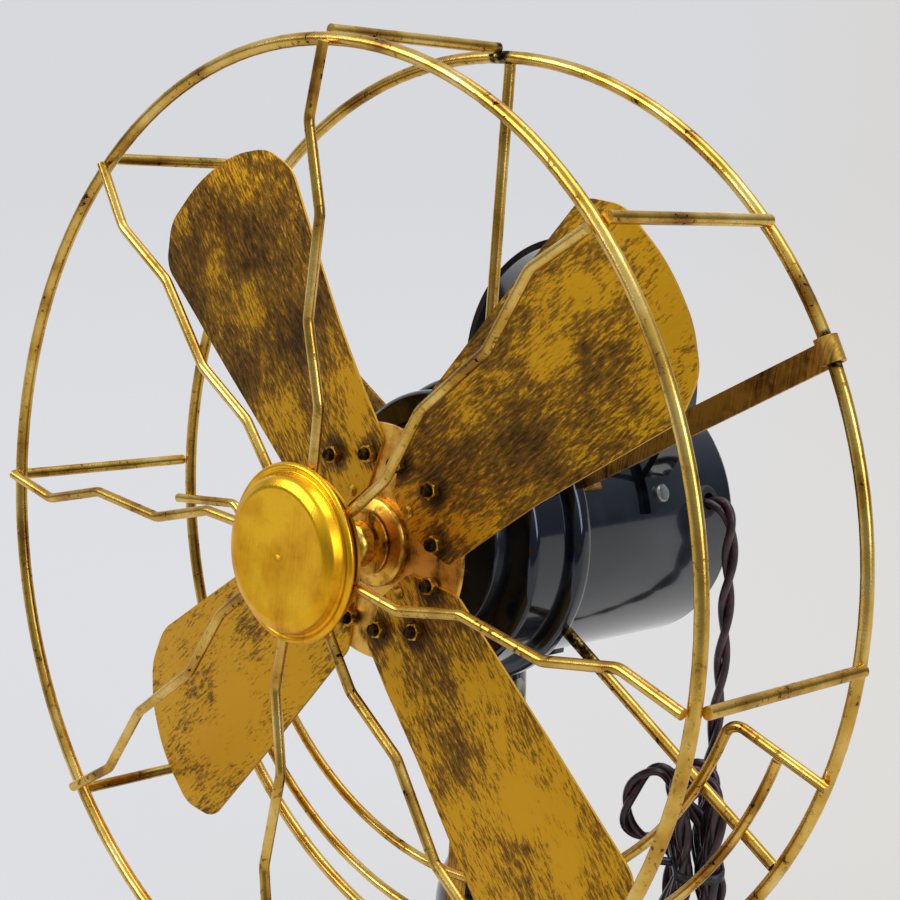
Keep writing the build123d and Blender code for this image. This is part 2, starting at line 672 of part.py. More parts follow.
def tilt_lug():
    """Eye plate under the motor with a saddle that lies along the shell."""
    half = FORK_SLOT / 2 - LUG_SIDE_GAP
    pivot = (PIVOT_BEHIND_RING, -AXIS_ABOVE_PIVOT)
    eye = Pos(*pivot) * Circle(LUG_EYE_R)
    middle = pivot[0] + SADDLE_BEHIND
    neck = make_face(Polyline(
        (pivot[0] - LUG_EYE_R, pivot[1]), (pivot[0] + LUG_EYE_R, pivot[1]), (middle + 10, -SHELL_R),
        (middle - 12, -SHELL_R), close=True).edges())
    plate = extrude(Plane.YZ * (eye + neck), half, both=True)
    saddle = drill_y(0, 0, SHELL_R + SEAT + SADDLE_THICK, middle - SADDLE_LONG / 2, middle + SADDLE_LONG / 2)
    saddle &= Pos(0, middle, -SHELL_R) * Box(SADDLE_WIDE, SADDLE_LONG, 30)
    body = plate + saddle
    body -= drill_y(0, 0, SHELL_R + SEAT, 0, 300)
    body -= rod((-20, pivot[0], pivot[1]), (20, pivot[0], pivot[1]), 2 * (TILT_BOLT_R + RUN))
    for x, y in saddle_screw_spots():
        body -= rod((x, y, -SHELL_R - HOLE_OUT), (x, y, HOLE_IN - SHELL_R), 2 * (SMALL_SCREW_R + SEAT))
    return body


def tilt_fork():
    """Forked head of the pole: the pole's own round section with a slot for the eye plate."""
    low = POLE_TOP + SEAT
    body = Pos(0, 0, low) * Cylinder(POLE_R, PIVOT_Z + FORK_TOP - low, align=(Align.CENTER, Align.CENTER, Align.MIN))
    ends = Pos(0, 0, PIVOT_Z) * (Box(60, 60, 60) - Cylinder(FORK_ROUND, 80, rotation=(0, 90, 0)))
    ends &= Pos(0, 0, PIVOT_Z + 20) * Box(60, 60, 40)
    body -= ends
    body -= Pos(0, 0, PIVOT_Z - FORK_SLOT_DEEP) * Box(
        FORK_SLOT, 60, 60, align=(Align.CENTER, Align.CENTER, Align.MIN))
    body += rod((0, 0, low - SPIGOT_LONG), (0, 0, low), 2 * (POLE_BORE - SEAT))
    body -= rod((-30, 0, PIVOT_Z), (30, 0, PIVOT_Z), 2 * (TILT_BOLT_R + SEAT))
    body -= rod((POLE_R - TILT_HEAD_THICK - 1.2, 0, PIVOT_Z), (30, 0, PIVOT_Z), 2 * (TILT_HEAD_R + SEAT))
    return body


def tilt_bolt():
    """Bolt through fork and eye, its head sunk in the right cheek, its thread standing out to the left."""
    seat = POLE_R - TILT_HEAD_THICK - 1.2 + SEAT
    shank = rod((-TILT_BOLT_LEFT, 0, PIVOT_Z), (seat, 0, PIVOT_Z), 2 * TILT_BOLT_R)
    top = rod((seat, 0, PIVOT_Z), (seat + TILT_HEAD_THICK, 0, PIVOT_Z), 2 * TILT_HEAD_R)
    slot = Pos(seat + TILT_HEAD_THICK, 0, PIVOT_Z) * Box(1.6, 1.4, 3 * TILT_HEAD_R)
    return shank + top - slot


KNOB_X = -(POLE_R + 0.3)


def tilt_knob():
    """Fluted clamp knob with a collar towards the fork."""
    disc = Cylinder(KNOB_R, KNOB_THICK - 3.0, align=(Align.CENTER, Align.CENTER, Align.MIN))
    disc = fillet(disc.edges().filter_by(GeomType.CIRCLE), 1.6)
    for k in range(KNOB_FLUTES):
        disc -= Rot(0, 0, 360 / KNOB_FLUTES * k) * Pos(KNOB_R + 1.2, 0, 0) * Cylinder(KNOB_FLUTE_R, 60)
    collar = Pos(0, 0, -3.0) * Cylinder(6.5, 4.0, align=(Align.CENTER, Align.CENTER, Align.MIN))
    bore = Pos(0, 0, -4) * Cylinder(
        TILT_BOLT_R + RUN, KNOB_THICK + 2.0, align=(Align.CENTER, Align.CENTER, Align.MIN))
    knob = disc + collar - bore
    return Pos(KNOB_X - 3.0, 0, PIVOT_Z) * Rot(0, -90, 0) * knob


# ---- stand
def base_bell():
    """Hollow cast base: rounded rim, concave flare, and a collar that is drawn in to the pole."""
    foot = FELT - 0.5
    rim = RIM_HIGH
    bore = STUD_R + SEAT
    flare = ThreePointArc((BASE_R - 2.0, rim + 1.0), FLARE_MID, (COLLAR_R, COLLAR_FOOT))
    below = (FLARE_MID[0] - 2.0, FLARE_MID[1] - BASE_WALL - 0.2)
    under = ThreePointArc((COLLAR_R - BASE_WALL, COLLAR_FOOT - 4.0), below, (BASE_R - 6.0, rim - 1.6))
    edges = [
        flare,
        Line((COLLAR_R, COLLAR_FOOT), (COLLAR_R, SHOULDER_FOOT)),
        ThreePointArc((COLLAR_R, SHOULDER_FOOT), SHOULDER_MID, (SHOULDER_TOP_R, COLLAR_TOP)),
        Line((SHOULDER_TOP_R, COLLAR_TOP), (bore, COLLAR_TOP)),
        Line((bore, COLLAR_TOP), (bore, COLLAR_FOOT - 4.0)),
        Line((bore, COLLAR_FOOT - 4.0), (COLLAR_R - BASE_WALL, COLLAR_FOOT - 4.0)),
        under,
        Line((BASE_R - 6.0, rim - 1.6), (BASE_R - 6.0, foot)),
        Line((BASE_R - 6.0, foot), (BASE_R - 0.6, foot)),
        ThreePointArc((BASE_R - 0.6, foot), (BASE_R + 0.9, (foot + rim) / 2), (BASE_R - 2.0, rim + 1.0)),
    ]
    face = make_face([e.edges()[0] for e in edges])
    body = revolve(Plane.XZ * face, Axis.Z)
    for k in range(BASE_SCREWS):
        angle = math.radians(45 + 360 / BASE_SCREWS * k)
        x, y = BASE_SCREW_PCD_R * math.cos(angle), BASE_SCREW_PCD_R * math.sin(angle)
        body += rod((x, y, FELT + PLATE_THICK + SEAT), (x, y, POST_TOP), 2 * POST_R)
        body -= rod((x, y, FELT), (x, y, POST_TOP), 2 * (SMALL_SCREW_R + SEAT))
    return body


def base_screw_places():
    return [Rot(0, 0, 45 + 360 / BASE_SCREWS * k) * Pos(BASE_SCREW_PCD_R, 0, 0) for k in range(BASE_SCREWS)]


def base_plate():
    low = FELT + SEAT
    body = rod((0, 0, low), (0, 0, FELT + PLATE_THICK), 2 * (BASE_R - 6.0 - 0.2))
    for place in base_screw_places():
        body -= place * Cylinder(SMALL_SCREW_R + SEAT, 20)
        body -= place * Pos(0, 0, low) * Cylinder(SMALL_HEAD_R + SEAT, 1.4)
    return body


def base_screws():
    screws = []
    for place in base_screw_places():
        low = FELT + SEAT
        one = rod((0, 0, low), (0, 0, low + 0.6), 2 * SMALL_HEAD_R)
        one += rod((0, 0, low), (0, 0, POST_TOP - 0.5), 2 * SMALL_SCREW_R)
        screws.append(place * one)
    return group(screws)


def pole():
    """Turned pole, a tube above with a stud below that goes through the collar."""
    low = COLLAR_TOP + SEAT
    body = rod((0, 0, low), (0, 0, POLE_TOP), 2 * POLE_R)
    body -= rod((0, 0, low + 8), (0, 0, POLE_TOP), 2 * POLE_BORE)
    body += rod((0, 0, COLLAR_FOOT - 4.0 - POLE_NUT_THICK - 4.0), (0, 0, low), 2 * STUD_R)
    return body


def pole_nut():
    top = COLLAR_FOOT - 4.0 - SEAT
    prism = Pos(0, 0, top - POLE_NUT_THICK) * nut_prism(POLE_NUT_FLATS, POLE_NUT_THICK)
    return prism - rod((0, 0, 0), (0, 0, 60), 2 * (STUD_R + SEAT))


# ---- cord
def corner_radii(points):
    """Each corner's radius is 0.45 of its shorter run over the tangent of half its turn."""
    radii = []
    for a, b, c in zip(points, points[1:], points[2:]):
        u = Vector(*b) - Vector(*a)
        v = Vector(*c) - Vector(*b)
        turn = math.radians(u.get_angle(v))
        radii.append(0.45 * min(u.length, v.length) / math.tan(turn / 2))
    return radii


def cord_run(points, label):
    radii = corner_radii(points)
    path = FilletPolyline(*points, radius=radii)
    body = tube(path, CORD)
    length = path.length
    share = body.volume / (math.pi * CORD ** 2 / 4 * length)
    print(label, "radii", [round(r, 1) for r in radii], "length", round(length, 1),
          "volume share", round(share, 4))
    return body


def biarc(start, start_way, end, end_way):
    """Two tangent arcs from one point and direction to another."""
    gap = end - start
    ways = start_way + end_way
    a = 2 * (1 - start_way.dot(end_way))
    b = gap.dot(ways)
    if abs(a) < 1e-9:
        d = gap.dot(gap) / (2 * b)
    else:
        d = (-b + math.sqrt(b * b + a * gap.dot(gap))) / a
    joint = (start + end + (start_way - end_way) * d) * 0.5
    one = TangentArc(start, joint, tangent=start_way)
    two = TangentArc(joint, end, tangent=one % 1)
    return [one.edges()[0], two.edges()[0]]


def hank_stations():
    """Points and directions of the hank, loop by loop, in its own frame: x across, y along the layers."""
    up = Vector(0, 0, 1)
    stations = []

    def petal(layer, lean, long, sign):
        """One loop above (sign 1) or below (sign -1) the waist, in the plane of its layer."""
        a = math.radians(lean)
        out = Vector(math.sin(a), 0, sign * math.cos(a))
        across = Vector(math.cos(a), 0, -sign * math.sin(a)) * sign
        waist = Vector(0, -layer * HANK_STEP, HANK_WAIST_Z)
        side = 0.62 * long
        stations.append((waist + out * side - across * HANK_HALF_LOOP, out))
        stations.append((waist + out * long, across))
        stations.append((waist + out * side + across * HANK_HALF_LOOP, -out))

    for k in range(HANK_LOOPS):
        y = -k * HANK_STEP
        comes_in = y if k else HANK_STEP
        stations.append((Vector(HANK_HALF_WAIST, comes_in, HANK_WAIST_Z), -up))
        foot_lean = 8.0 - 3.0 * (k % 3)
        petal(k, foot_lean, HANK_FOOT_LONG - 2.0 * (k % 2), -1)
        stations.append((Vector(-HANK_HALF_WAIST, y, HANK_WAIST_Z), up))
        top_lean = -2.0 * k if k % 2 == 0 else -14.0 - 3.0 * k
        petal(k, top_lean, HANK_TOP_LONG - 3.0 * (k % 2), 1)
    stations.append((Vector(HANK_HALF_WAIST, -HANK_LOOPS * HANK_STEP, HANK_WAIST_Z), -up))
    return stations


def cord_hank():
    """One unbroken tube of loops drawn in at the tied waist; each step to the next layer is on a run."""
    stations = hank_stations()
    first, last = stations[0][0], stations[-1][0]
    up = Vector(0, 0, 1)
    edges = [Line(first + up * HANK_LEAD, first).edges()[0]]
    for (p, u), (q, v) in zip(stations, stations[1:]):
        edges += biarc(p, u, q, v)
    edges.append(Line(last, last - up * HANK_LEAD).edges()[0])
    path = Wire(edges)
    section = Plane(origin=path @ 0, z_dir=path % 0) * Circle(CORD / 2)
    body = sweep(section, path=path)
    count = int(path.length / 2.0)
    points = [path @ (k / count) for k in range(count + 1)]
    step = path.length / count
    apart = int(3 * CORD / step)
    nearest = min(
        (points[i] - points[j]).length for i in range(count + 1) for j in range(i + apart, count + 1))
    print("hank length", round(path.length, 1), "least gap", round(nearest - CORD, 2),
          "tightest", round(min(e.radius for e in edges if e.geom_type == GeomType.CIRCLE), 1))
    return body


HANK_PLACE = Pos(HANK_X, HANK_Y, 0) * Rot(0, 0, HANK_TURN)


def hank_point(x, y, z):
    """A point of the hank's frame in the world frame."""
    turn = math.radians(HANK_TURN)
    return (HANK_X + x * math.cos(turn) - y * math.sin(turn),
            HANK_Y + x * math.sin(turn) + y * math.cos(turn), z)


def cord_tie():
    """Flat band round the waist of the hank with a short free end."""
    deep = (HANK_LOOPS + 1) * HANK_STEP
    inner_x = 2 * HANK_HALF_WAIST + CORD + 1.2
    inner_y = deep + CORD + 1.2
    hole = RectangleRounded(inner_x, inner_y, 4.0)
    band = RectangleRounded(inner_x + 2 * TIE_THICK, inner_y + 2 * TIE_THICK, 5.0)
    middle = HANK_STEP - deep / 2
    body = Pos(0, middle, HANK_WAIST_Z - TIE_HIGH / 2) * extrude(band - hole, TIE_HIGH)
    end = Pos(-inner_x / 2 - TIE_THICK - 5.0, middle - inner_y / 2 + 6.0, HANK_WAIST_Z) * Box(
        12.0, TIE_THICK, TIE_HIGH)
    return HANK_PLACE * (body + end)


def outlet_point(radius):
    """Point on the axis of the cord's outlet, in the world frame."""
    angle = math.radians(OUTLET_CLOCK)
    up = radius * math.cos(angle) + AXIS_ABOVE_PIVOT
    back = OUTLET_Y - PIVOT_BEHIND_RING
    tilt = math.radians(HEAD_UP)
    return (radius * math.sin(angle), back * math.cos(tilt) + up * math.sin(tilt),
            PIVOT_Z - back * math.sin(tilt) + up * math.cos(tilt))


HANK_TOP = hank_point(HANK_HALF_WAIST, HANK_STEP, HANK_WAIST_Z + HANK_LEAD)
TAIL_START = hank_point(HANK_HALF_WAIST, -HANK_LOOPS * HANK_STEP, HANK_WAIST_Z - HANK_LEAD)
TAIL_ROUTE = (
    TAIL_START, (TAIL_START[0], TAIL_START[1], 57.0), (90.6, 27.5, 43.0), (93.8, 28.6, 29.0),
    (100.0, 30.8, 16.0), (108.0, 36.0, 6.0), (115.0, 46.5, 3.6), (118.4, 60.0, 7.0), (116.2, 74.0, 14.4),
)
PLUG_AT = (113.8, 86.0, 14.4)


def plug_frame():
    """Place of the plug: Z along its axis, from its cord end to its pins, lying on the table."""
    return Plane(origin=PLUG_AT, x_dir=(0, 0, 1), z_dir=(-0.2, 1.0, 0.0))


def plug_body():
    """Round two-pin plug with a finger waist and a sleeve for the cord."""
    profile = outline((
        (0, 0, 0), (PLUG_NECK_R, 0, 1.2), (PLUG_NECK_R + 1.0, 7, 2.0), (PLUG_R - 1.5, 13, 3.0),
        (PLUG_R - 3.0, 20, 5.0), (PLUG_R, 26, 2.0), (PLUG_R, PLUG_LONG, 1.5), (0, PLUG_LONG, 0)))
    body = revolve(Plane.XZ * profile, Axis.Z)
    for side in (-1, 1):
        body -= Pos(0, side * PIN_APART / 2, PLUG_LONG - 8) * Cylinder(
            PIN_R + SEAT, 20, align=(Align.CENTER, Align.CENTER, Align.MIN))
    return plug_frame().location * body


def plug_pins():
    pins = []
    for side in (-1, 1):
        pin = Pos(0, side * PIN_APART / 2, PLUG_LONG - 8 + SEAT) * Cylinder(
            PIN_R, PIN_LONG + 8, align=(Align.CENTER, Align.CENTER, Align.MIN))
        tip = pin.edges().filter_by(GeomType.CIRCLE).sort_by(Axis.Z)[-1]
        pins.append(plug_frame().location * fillet(tip, 1.0))
    return group(pins)


# ---- write every node
def write_guard():
    head("front_ring", ring(RING_R, RING_WIRE, 0))
    head("rear_ring", ring(REAR_RING_R, RING_WIRE, REAR_RING_Y))
    head("guard_struts", group(clock(c) * strut() for c in STRUT_CLOCKS))
    wire = front_wire()
    for k, angle in enumerate(FRONT_CLOCKS):
        head("front_wire_%d" % (k + 1), clock(angle) * wire)
    head("guard_cap", guard_cap())
    head("cap_back", cap_back())
    head("cap_screw", cap_screw())
    head("rear_rods", group(clock(c) * rear_rod() for c in ROD_CLOCKS))
    head("rear_straps", group(clock(c) * strap() for c in STRAP_CLOCKS))
    arc_y = REAR_RING_Y - (RING_WIRE + ARC_WIRE) / 2 - WELD
    head("inner_arc_1", arc_wire(ARC_1_R, *ARC_1_ENDS, ARC_1_TIP_R, ARC_1_TIP_R, arc_y))
    head("inner_arc_2", arc_wire(ARC_2_R, *ARC_2_ENDS, None, None, arc_y))


def write_rotor():
    sheet = blade()
    for k, place in enumerate(blade_places()):
        head("blade_%d" % (k + 1), place * sheet)
    spots = [place * Pos(side, 0, out) for place in blade_places() for out, side in BOLT_SPOTS]
    head("blade_bolts", group(spot * blade_bolt() for spot in spots))
    head("blade_nuts", group(spot * blade_nut() for spot in spots))
    rivets = [place * Pos(RIVET_SPOT[1], 0, RIVET_SPOT[0]) for place in blade_places()]
    head("blade_rivets", group(spot * blade_rivet() for spot in rivets))
    head("spider_disc", spider_disc())
    head("hub_boss", hub_boss())
    head("hub_nut", hub_nut())
    head("shaft", shaft())
    head("rotor_core", rotor_core())


def write_motor():
    head("motor_shell", motor_shell())
    head("front_bell", front_bell())
    head("clamp_ring", clamp_ring())
    head("rear_cover", rear_cover())
    head("cover_screws", cover_screws())
    head("stator_core", stator_core())
    head("stator_coils", stator_coils())
    head("front_bearing", bearing(NOSE_Y + 0.2))
    head("rear_bearing", bearing(REAR_BEARING_Y))
    head("grommet", grommet())
    head("carry_handle", carry_handle())
    handle_seat = SHELL_R + 2 * SEAT + HANDLE_THICK
    spots = [clock(s * HANDLE_SCREW_CLOCK) * Pos(0, HANDLE_Y + HANDLE_WIDE / 2, 0) for s in (-1, 1)]
    head("handle_screws", group(spot * pan_screw(handle_seat) for spot in spots))
    strap_seat = SHELL_R + 2 * SEAT + STRAP_THICK
    spots = [clock(c) * Pos(0, STRAP_Y + STRAP_FOOT * 0.6, 0) for c in STRAP_CLOCKS]
    head("strap_screws", group(spot * pan_screw(strap_seat) for spot in spots))
    head("tilt_lug", tilt_lug())


def write_stand():
    write("base_bell", base_bell())
    write("base_plate", base_plate())
    write("base_felt", rod((0, 0, 0), (0, 0, FELT), 2 * FELT_R))
    write("base_screws", base_screws())
    write("pole", pole())
    write("pole_nut", pole_nut())
    write("tilt_fork", tilt_fork())
    write("tilt_bolt", tilt_bolt())
    write("tilt_knob", tilt_knob())


def write_cord():
    above = (HANK_TOP[0], HANK_TOP[1], HANK_TOP[2] + 13.0)
    route = tuple(outlet_point(r) for r in DROP_OUT_R) + DROP_ROUTE + (above, HANK_TOP)
    write("cord_drop", cord_run(route, "drop"))
    write("cord_hank", HANK_PLACE * cord_hank())
    write("cord_tie", cord_tie())
    write("cord_tail", cord_run(TAIL_ROUTE + (PLUG_AT,), "tail"))
    write("plug_body", plug_body())
    write("plug_pins", plug_pins())


write_guard()
write_rotor()
write_motor()
write_stand()
write_cord()
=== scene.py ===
import math

import bpy
import numpy as np
from mathutils import Matrix, Vector


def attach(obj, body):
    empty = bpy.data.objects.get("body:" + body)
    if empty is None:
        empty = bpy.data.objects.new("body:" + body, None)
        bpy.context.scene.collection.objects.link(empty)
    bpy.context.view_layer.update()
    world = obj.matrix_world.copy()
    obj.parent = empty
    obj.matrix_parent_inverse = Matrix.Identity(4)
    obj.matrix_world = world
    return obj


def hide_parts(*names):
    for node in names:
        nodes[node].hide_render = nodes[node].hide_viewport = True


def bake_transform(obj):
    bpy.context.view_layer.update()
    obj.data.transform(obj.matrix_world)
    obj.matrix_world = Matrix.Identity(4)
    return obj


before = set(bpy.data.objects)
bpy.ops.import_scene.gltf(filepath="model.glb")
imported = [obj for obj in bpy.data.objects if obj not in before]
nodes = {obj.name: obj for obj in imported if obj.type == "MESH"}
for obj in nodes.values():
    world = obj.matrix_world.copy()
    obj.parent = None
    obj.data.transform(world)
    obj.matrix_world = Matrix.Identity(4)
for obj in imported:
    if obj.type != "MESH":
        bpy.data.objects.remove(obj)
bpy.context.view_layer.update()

# The head's own frame: Y along the fan axis to the rear, from the front guard ring. Metres.
HEAD_UP = math.radians(10)
PIVOT = Vector((0, 0, 0.152))
RING_FROM_PIVOT = Vector((0, -0.102, 0.062))

# A blade's own frame: the same Y, X across the blade and Z out along it. A nut is at (X, Z).
NUT_SPOTS = ((-0.0155, 0.0255), (0.0155, 0.0255), (0.0, 0.0345))
BLADE_FACE = 0.033
BLADE_TIP = 0.16         # Z just past the tip
# Painted light and shade: each blade painted lighter or darker, and along its length
# Each blade's clock angle in degrees, then (Z, how much lighter than even) along it.
BLADE_PAINTED_LIGHT = (
    (44.5, (0.0, 0.0), (0.05, -0.03), (0.1, -0.03), (0.13, 0.0), (0.15, 0.04)),
    (134.5, (0.0, -0.03), (0.045, 0.0), (0.09, 0.035), (0.15, 0.03)),
    (224.5, (0.0, 0.02), (0.05, 0.05), (0.1, 0.06), (0.15, 0.03)),
    (314.5, (0.0, 0.03), (0.055, 0.01), (0.08, -0.06), (0.13, -0.06), (0.155, -0.03)),
)


# ---- materials
def paint(code):
    """Linear colour of an sRGB hex value."""
    parts = [int(code[i:i + 2], 16) / 255 for i in (1, 3, 5)]
    return [p / 12.92 if p <= 0.04045 else ((p + 0.055) / 1.055) ** 2.4 for p in parts] + [1.0]


def feed(tree, node, links):
    """Sets a node's inputs, by name or number, to a value or to the output that feeds it."""
    for key, value in links.items():
        if isinstance(value, bpy.types.NodeSocket):
            tree.links.new(value, node.inputs[key])
        else:
            node.inputs[key].default_value = value


def add(tree, kind, links=None, **settings):
    """Adds a node with its settings and feeds its inputs."""
    made = tree.nodes.new(kind)
    for key, value in settings.items():
        setattr(made, key, value)
    feed(tree, made, links or {})
    return made


def empty_tree(owner):
    """Node tree of a material or world, with nothing in it."""
    owner.use_nodes = True
    owner.node_tree.nodes.clear()
    return owner.node_tree


def surface(name):
    """Empty material with its shader, and the piece's own coordinates in metres."""
    material = bpy.data.materials.new(name)
    tree = empty_tree(material)
    shader = add(tree, "ShaderNodeBsdfPrincipled")
    add(tree, "ShaderNodeOutputMaterial", {"Surface": shader.outputs[0]})
    return material, tree, shader, add(tree, "ShaderNodeTexCoord").outputs["Object"]


def ramp(tree, fac, *stops):
    """Colour ramp from (position, value) stops, as grey levels or hex colours."""
    made = add(tree, "ShaderNodeValToRGB", {"Fac": fac})
    elements = made.color_ramp.elements
    for index, (position, value) in enumerate(stops):
        stop = elements[index] if index < 2 else elements.new(position)
        stop.position = position
        stop.color = paint(value) if isinstance(value, str) else (value, value, value, 1)
    return made.outputs["Color"]


def head_point(clock, radius, back):
    """Place of a point of the head, by its clock angle and distance from the fan axis and how far it lies
    behind the front ring."""
    a = math.radians(clock)
    spot = Vector((radius * math.sin(a), back, radius * math.cos(a))) + RING_FROM_PIVOT
    return PIVOT + Matrix.Rotation(-HEAD_UP, 3, "X") @ spot


# Where the wire is painted black, and how far round: painted shade at a rod's end, where it meets the motor's
# ring, and black patches at the rear end of the top strut and on the rear ring beside a strap's rolled end.
REAR_RING_BACK = 0.0805
BLACK_PATCHES_AND_SHADE = (
    (head_point(115.6, 0.057, REAR_RING_BACK), 0.022),
    (head_point(-5.7, 0.166, REAR_RING_BACK), 0.007),
    (head_point(55.2, 0.166, REAR_RING_BACK), 0.008),
)


def gilt_wire():
    """Gold paint on steel wire, rubbed back: warm metal with brown patches 20 mm across and sharp black specks
    1 to 3 mm long, black patches at two joints, and painted shade, black, round a rod's end at the motor."""
    material, tree, shader, here = surface("gilt_wire")
    patch = add(tree, "ShaderNodeTexNoise", {"Vector": here, "Scale": 1 / 0.02, "Detail": 5.0})
    speck = add(tree, "ShaderNodeTexNoise", {
        "Vector": here, "Scale": 1 / 0.0022, "Detail": 5.0, "Roughness": 0.65})
    tone = ramp(tree, patch.outputs["Fac"], (0.34, "#94682A"), (0.45, "#C4983E"), (0.56, "#DCB458"),
                (0.72, "#ECCC80"))
    dark = ramp(tree, speck.outputs["Fac"], (0.585, 0.0), (0.62, 1.0))
    near = ramp(tree, patch.outputs["Fac"], (0.38, 1.0), (0.56, 0.25))
    share = add(tree, "ShaderNodeMath", {0: dark, 1: near}, operation="MULTIPLY")
    # black patches, and painted shade round a rod's end at the motor
    for centre, reach in BLACK_PATCHES_AND_SHADE:
        away = add(tree, "ShaderNodeVectorMath", {0: here, 1: centre}, operation="DISTANCE")
        black_and_shade = add(tree, "ShaderNodeMapRange", {
            "Value": away.outputs["Value"], "From Min": reach * 0.7, "From Max": reach, "To Min": 3.2,
            "To Max": 0.0})
        black_and_shade = add(tree, "ShaderNodeMath", {
            0: black_and_shade.outputs[0], 1: speck.outputs["Fac"], 2: -0.7}, operation="MULTIPLY_ADD")
        share = add(tree, "ShaderNodeMath", {
            0: share.outputs[0], 1: black_and_shade.outputs[0]}, operation="MAXIMUM", use_clamp=True)
    colour = add(tree, "ShaderNodeMix", {
        "Factor": share.outputs[0], 6: tone, 7: paint("#1E130A")}, data_type="RGBA")
    rough = add(tree, "ShaderNodeMapRange", {"Value": share.outputs[0], "To Min": 0.26, "To Max": 0.6})
    bump = add(tree, "ShaderNodeBump", {"Height": speck.outputs["Fac"], "Strength": 0.14, "Distance": 0.0004})
    feed(tree, shader, {
        "Base Color": colour.outputs[2], "Roughness": rough.outputs[0], "Normal": bump.outputs[0],
        "Metallic": 1.0})
    return material


def brushed_gold(name, clock, *light_stops):
    """Gold paint worn thin over dark brown sheet: fine marks 0.8 mm wide and 4 mm long along the blade at that
    clock angle and dark patches 30 mm across, the gold darker round each nut, a painted highlight on the edges,
    and painted light and shade along the blade from the given stops, its row of the table of painted light."""
    material, tree, shader, here = surface(name)
    spin = Matrix.Rotation(-math.radians(clock), 3, "Y")
    turn = spin @ Matrix.Rotation(HEAD_UP, 3, "X")
    own = add(tree, "ShaderNodeMapping", {
        "Vector": here, "Location": -(spin @ RING_FROM_PIVOT) - turn @ PIVOT,
        "Rotation": turn.to_euler("XYZ")})
    own = own.outputs[0]
    waver = add(tree, "ShaderNodeTexNoise", {"Vector": own, "Scale": 1 / 0.03, "Detail": 2.0})
    bent = add(tree, "ShaderNodeMix", {
        "Factor": 0.0035, 4: own, 5: waver.outputs["Color"]}, data_type="VECTOR")
    drawn = add(tree, "ShaderNodeMapping", {
        "Vector": bent.outputs[1], "Scale": (1 / 0.0008, 1 / 0.01, 1 / 0.004)})
    fine = add(tree, "ShaderNodeTexNoise", {
        "Vector": drawn.outputs[0], "Scale": 1.0, "Detail": 6.0, "Roughness": 0.75})
    patch = add(tree, "ShaderNodeTexNoise", {
        "Vector": own, "Scale": 1 / 0.03, "Detail": 4.0, "Roughness": 0.6})
    axes = add(tree, "ShaderNodeSeparateXYZ", {0: own})
    # painted light and shade along the blade, from the given stops
    along = add(tree, "ShaderNodeMapRange", {"Value": axes.outputs["Z"], "From Max": BLADE_TIP})
    painted_light = ramp(tree, along.outputs[0], *((at / BLADE_TIP, 0.5 + light) for at, light in light_stops))

    # gold left in the marks and patches, plus painted light and shade, added up, less the darkening round each
    # nut
    level = add(tree, "ShaderNodeMath", {0: fine.outputs["Fac"], 1: 0.55}, operation="MULTIPLY")
    for value, share in ((patch.outputs["Fac"], 0.4), (painted_light, 1.0)):
        level = add(tree, "ShaderNodeMath", {
            0: value, 1: share, 2: level.outputs[0]}, operation="MULTIPLY_ADD")
    # the gold is painted darker round each nut
    for across, out in NUT_SPOTS:
        away = add(tree, "ShaderNodeVectorMath", {
            0: own, 1: (across, BLADE_FACE, out)}, operation="DISTANCE")
        nut_darkening = add(tree, "ShaderNodeMapRange", {
            "Value": away.outputs["Value"], "From Min": 0.0045, "From Max": 0.0085, "To Min": 0.1,
            "To Max": 0.0})
        level = add(tree, "ShaderNodeMath", {
            0: level.outputs[0], 1: nut_darkening.outputs[0]}, operation="SUBTRACT")
    darkest_gold, brightest_gold = 0.84, 1.1
    tone = ramp(tree, level.outputs[0], (darkest_gold, "#38260F"), (0.93, "#6E4C17"), (1.01, "#A67618"),
                (brightest_gold, "#D69E1A"))
    rough = add(tree, "ShaderNodeMapRange", {
        "Value": level.outputs[0], "From Min": darkest_gold, "From Max": brightest_gold, "To Min": 0.6, "To Max": 0.36})

    # painted highlight: the edges, the faces whose normal lies across the fan axis, are painted a lighter gold
    normal = add(tree, "ShaderNodeMapping", {
        "Vector": add(tree, "ShaderNodeTexCoord").outputs["Normal"], "Rotation": turn.to_euler("XYZ")})
    normal = add(tree, "ShaderNodeSeparateXYZ", {0: normal.outputs[0]})
    flat = add(tree, "ShaderNodeMath", {0: normal.outputs["Y"]}, operation="ABSOLUTE")
    edge_highlight = ramp(tree, flat.outputs[0], (0.35, 1.0), (0.7, 0.0))
    colour = add(tree, "ShaderNodeMix", {"Factor": edge_highlight, 6: tone, 7: paint("#E0AE3A")}, data_type="RGBA")
    bump = add(tree, "ShaderNodeBump", {"Height": fine.outputs["Fac"], "Strength": 0.25, "Distance": 0.0005})
    feed(tree, shader, {
        "Base Color": colour.outputs[2], "Roughness": rough.outputs[0], "Normal": bump.outputs[0],
        "Metallic": 0.9})
    return material


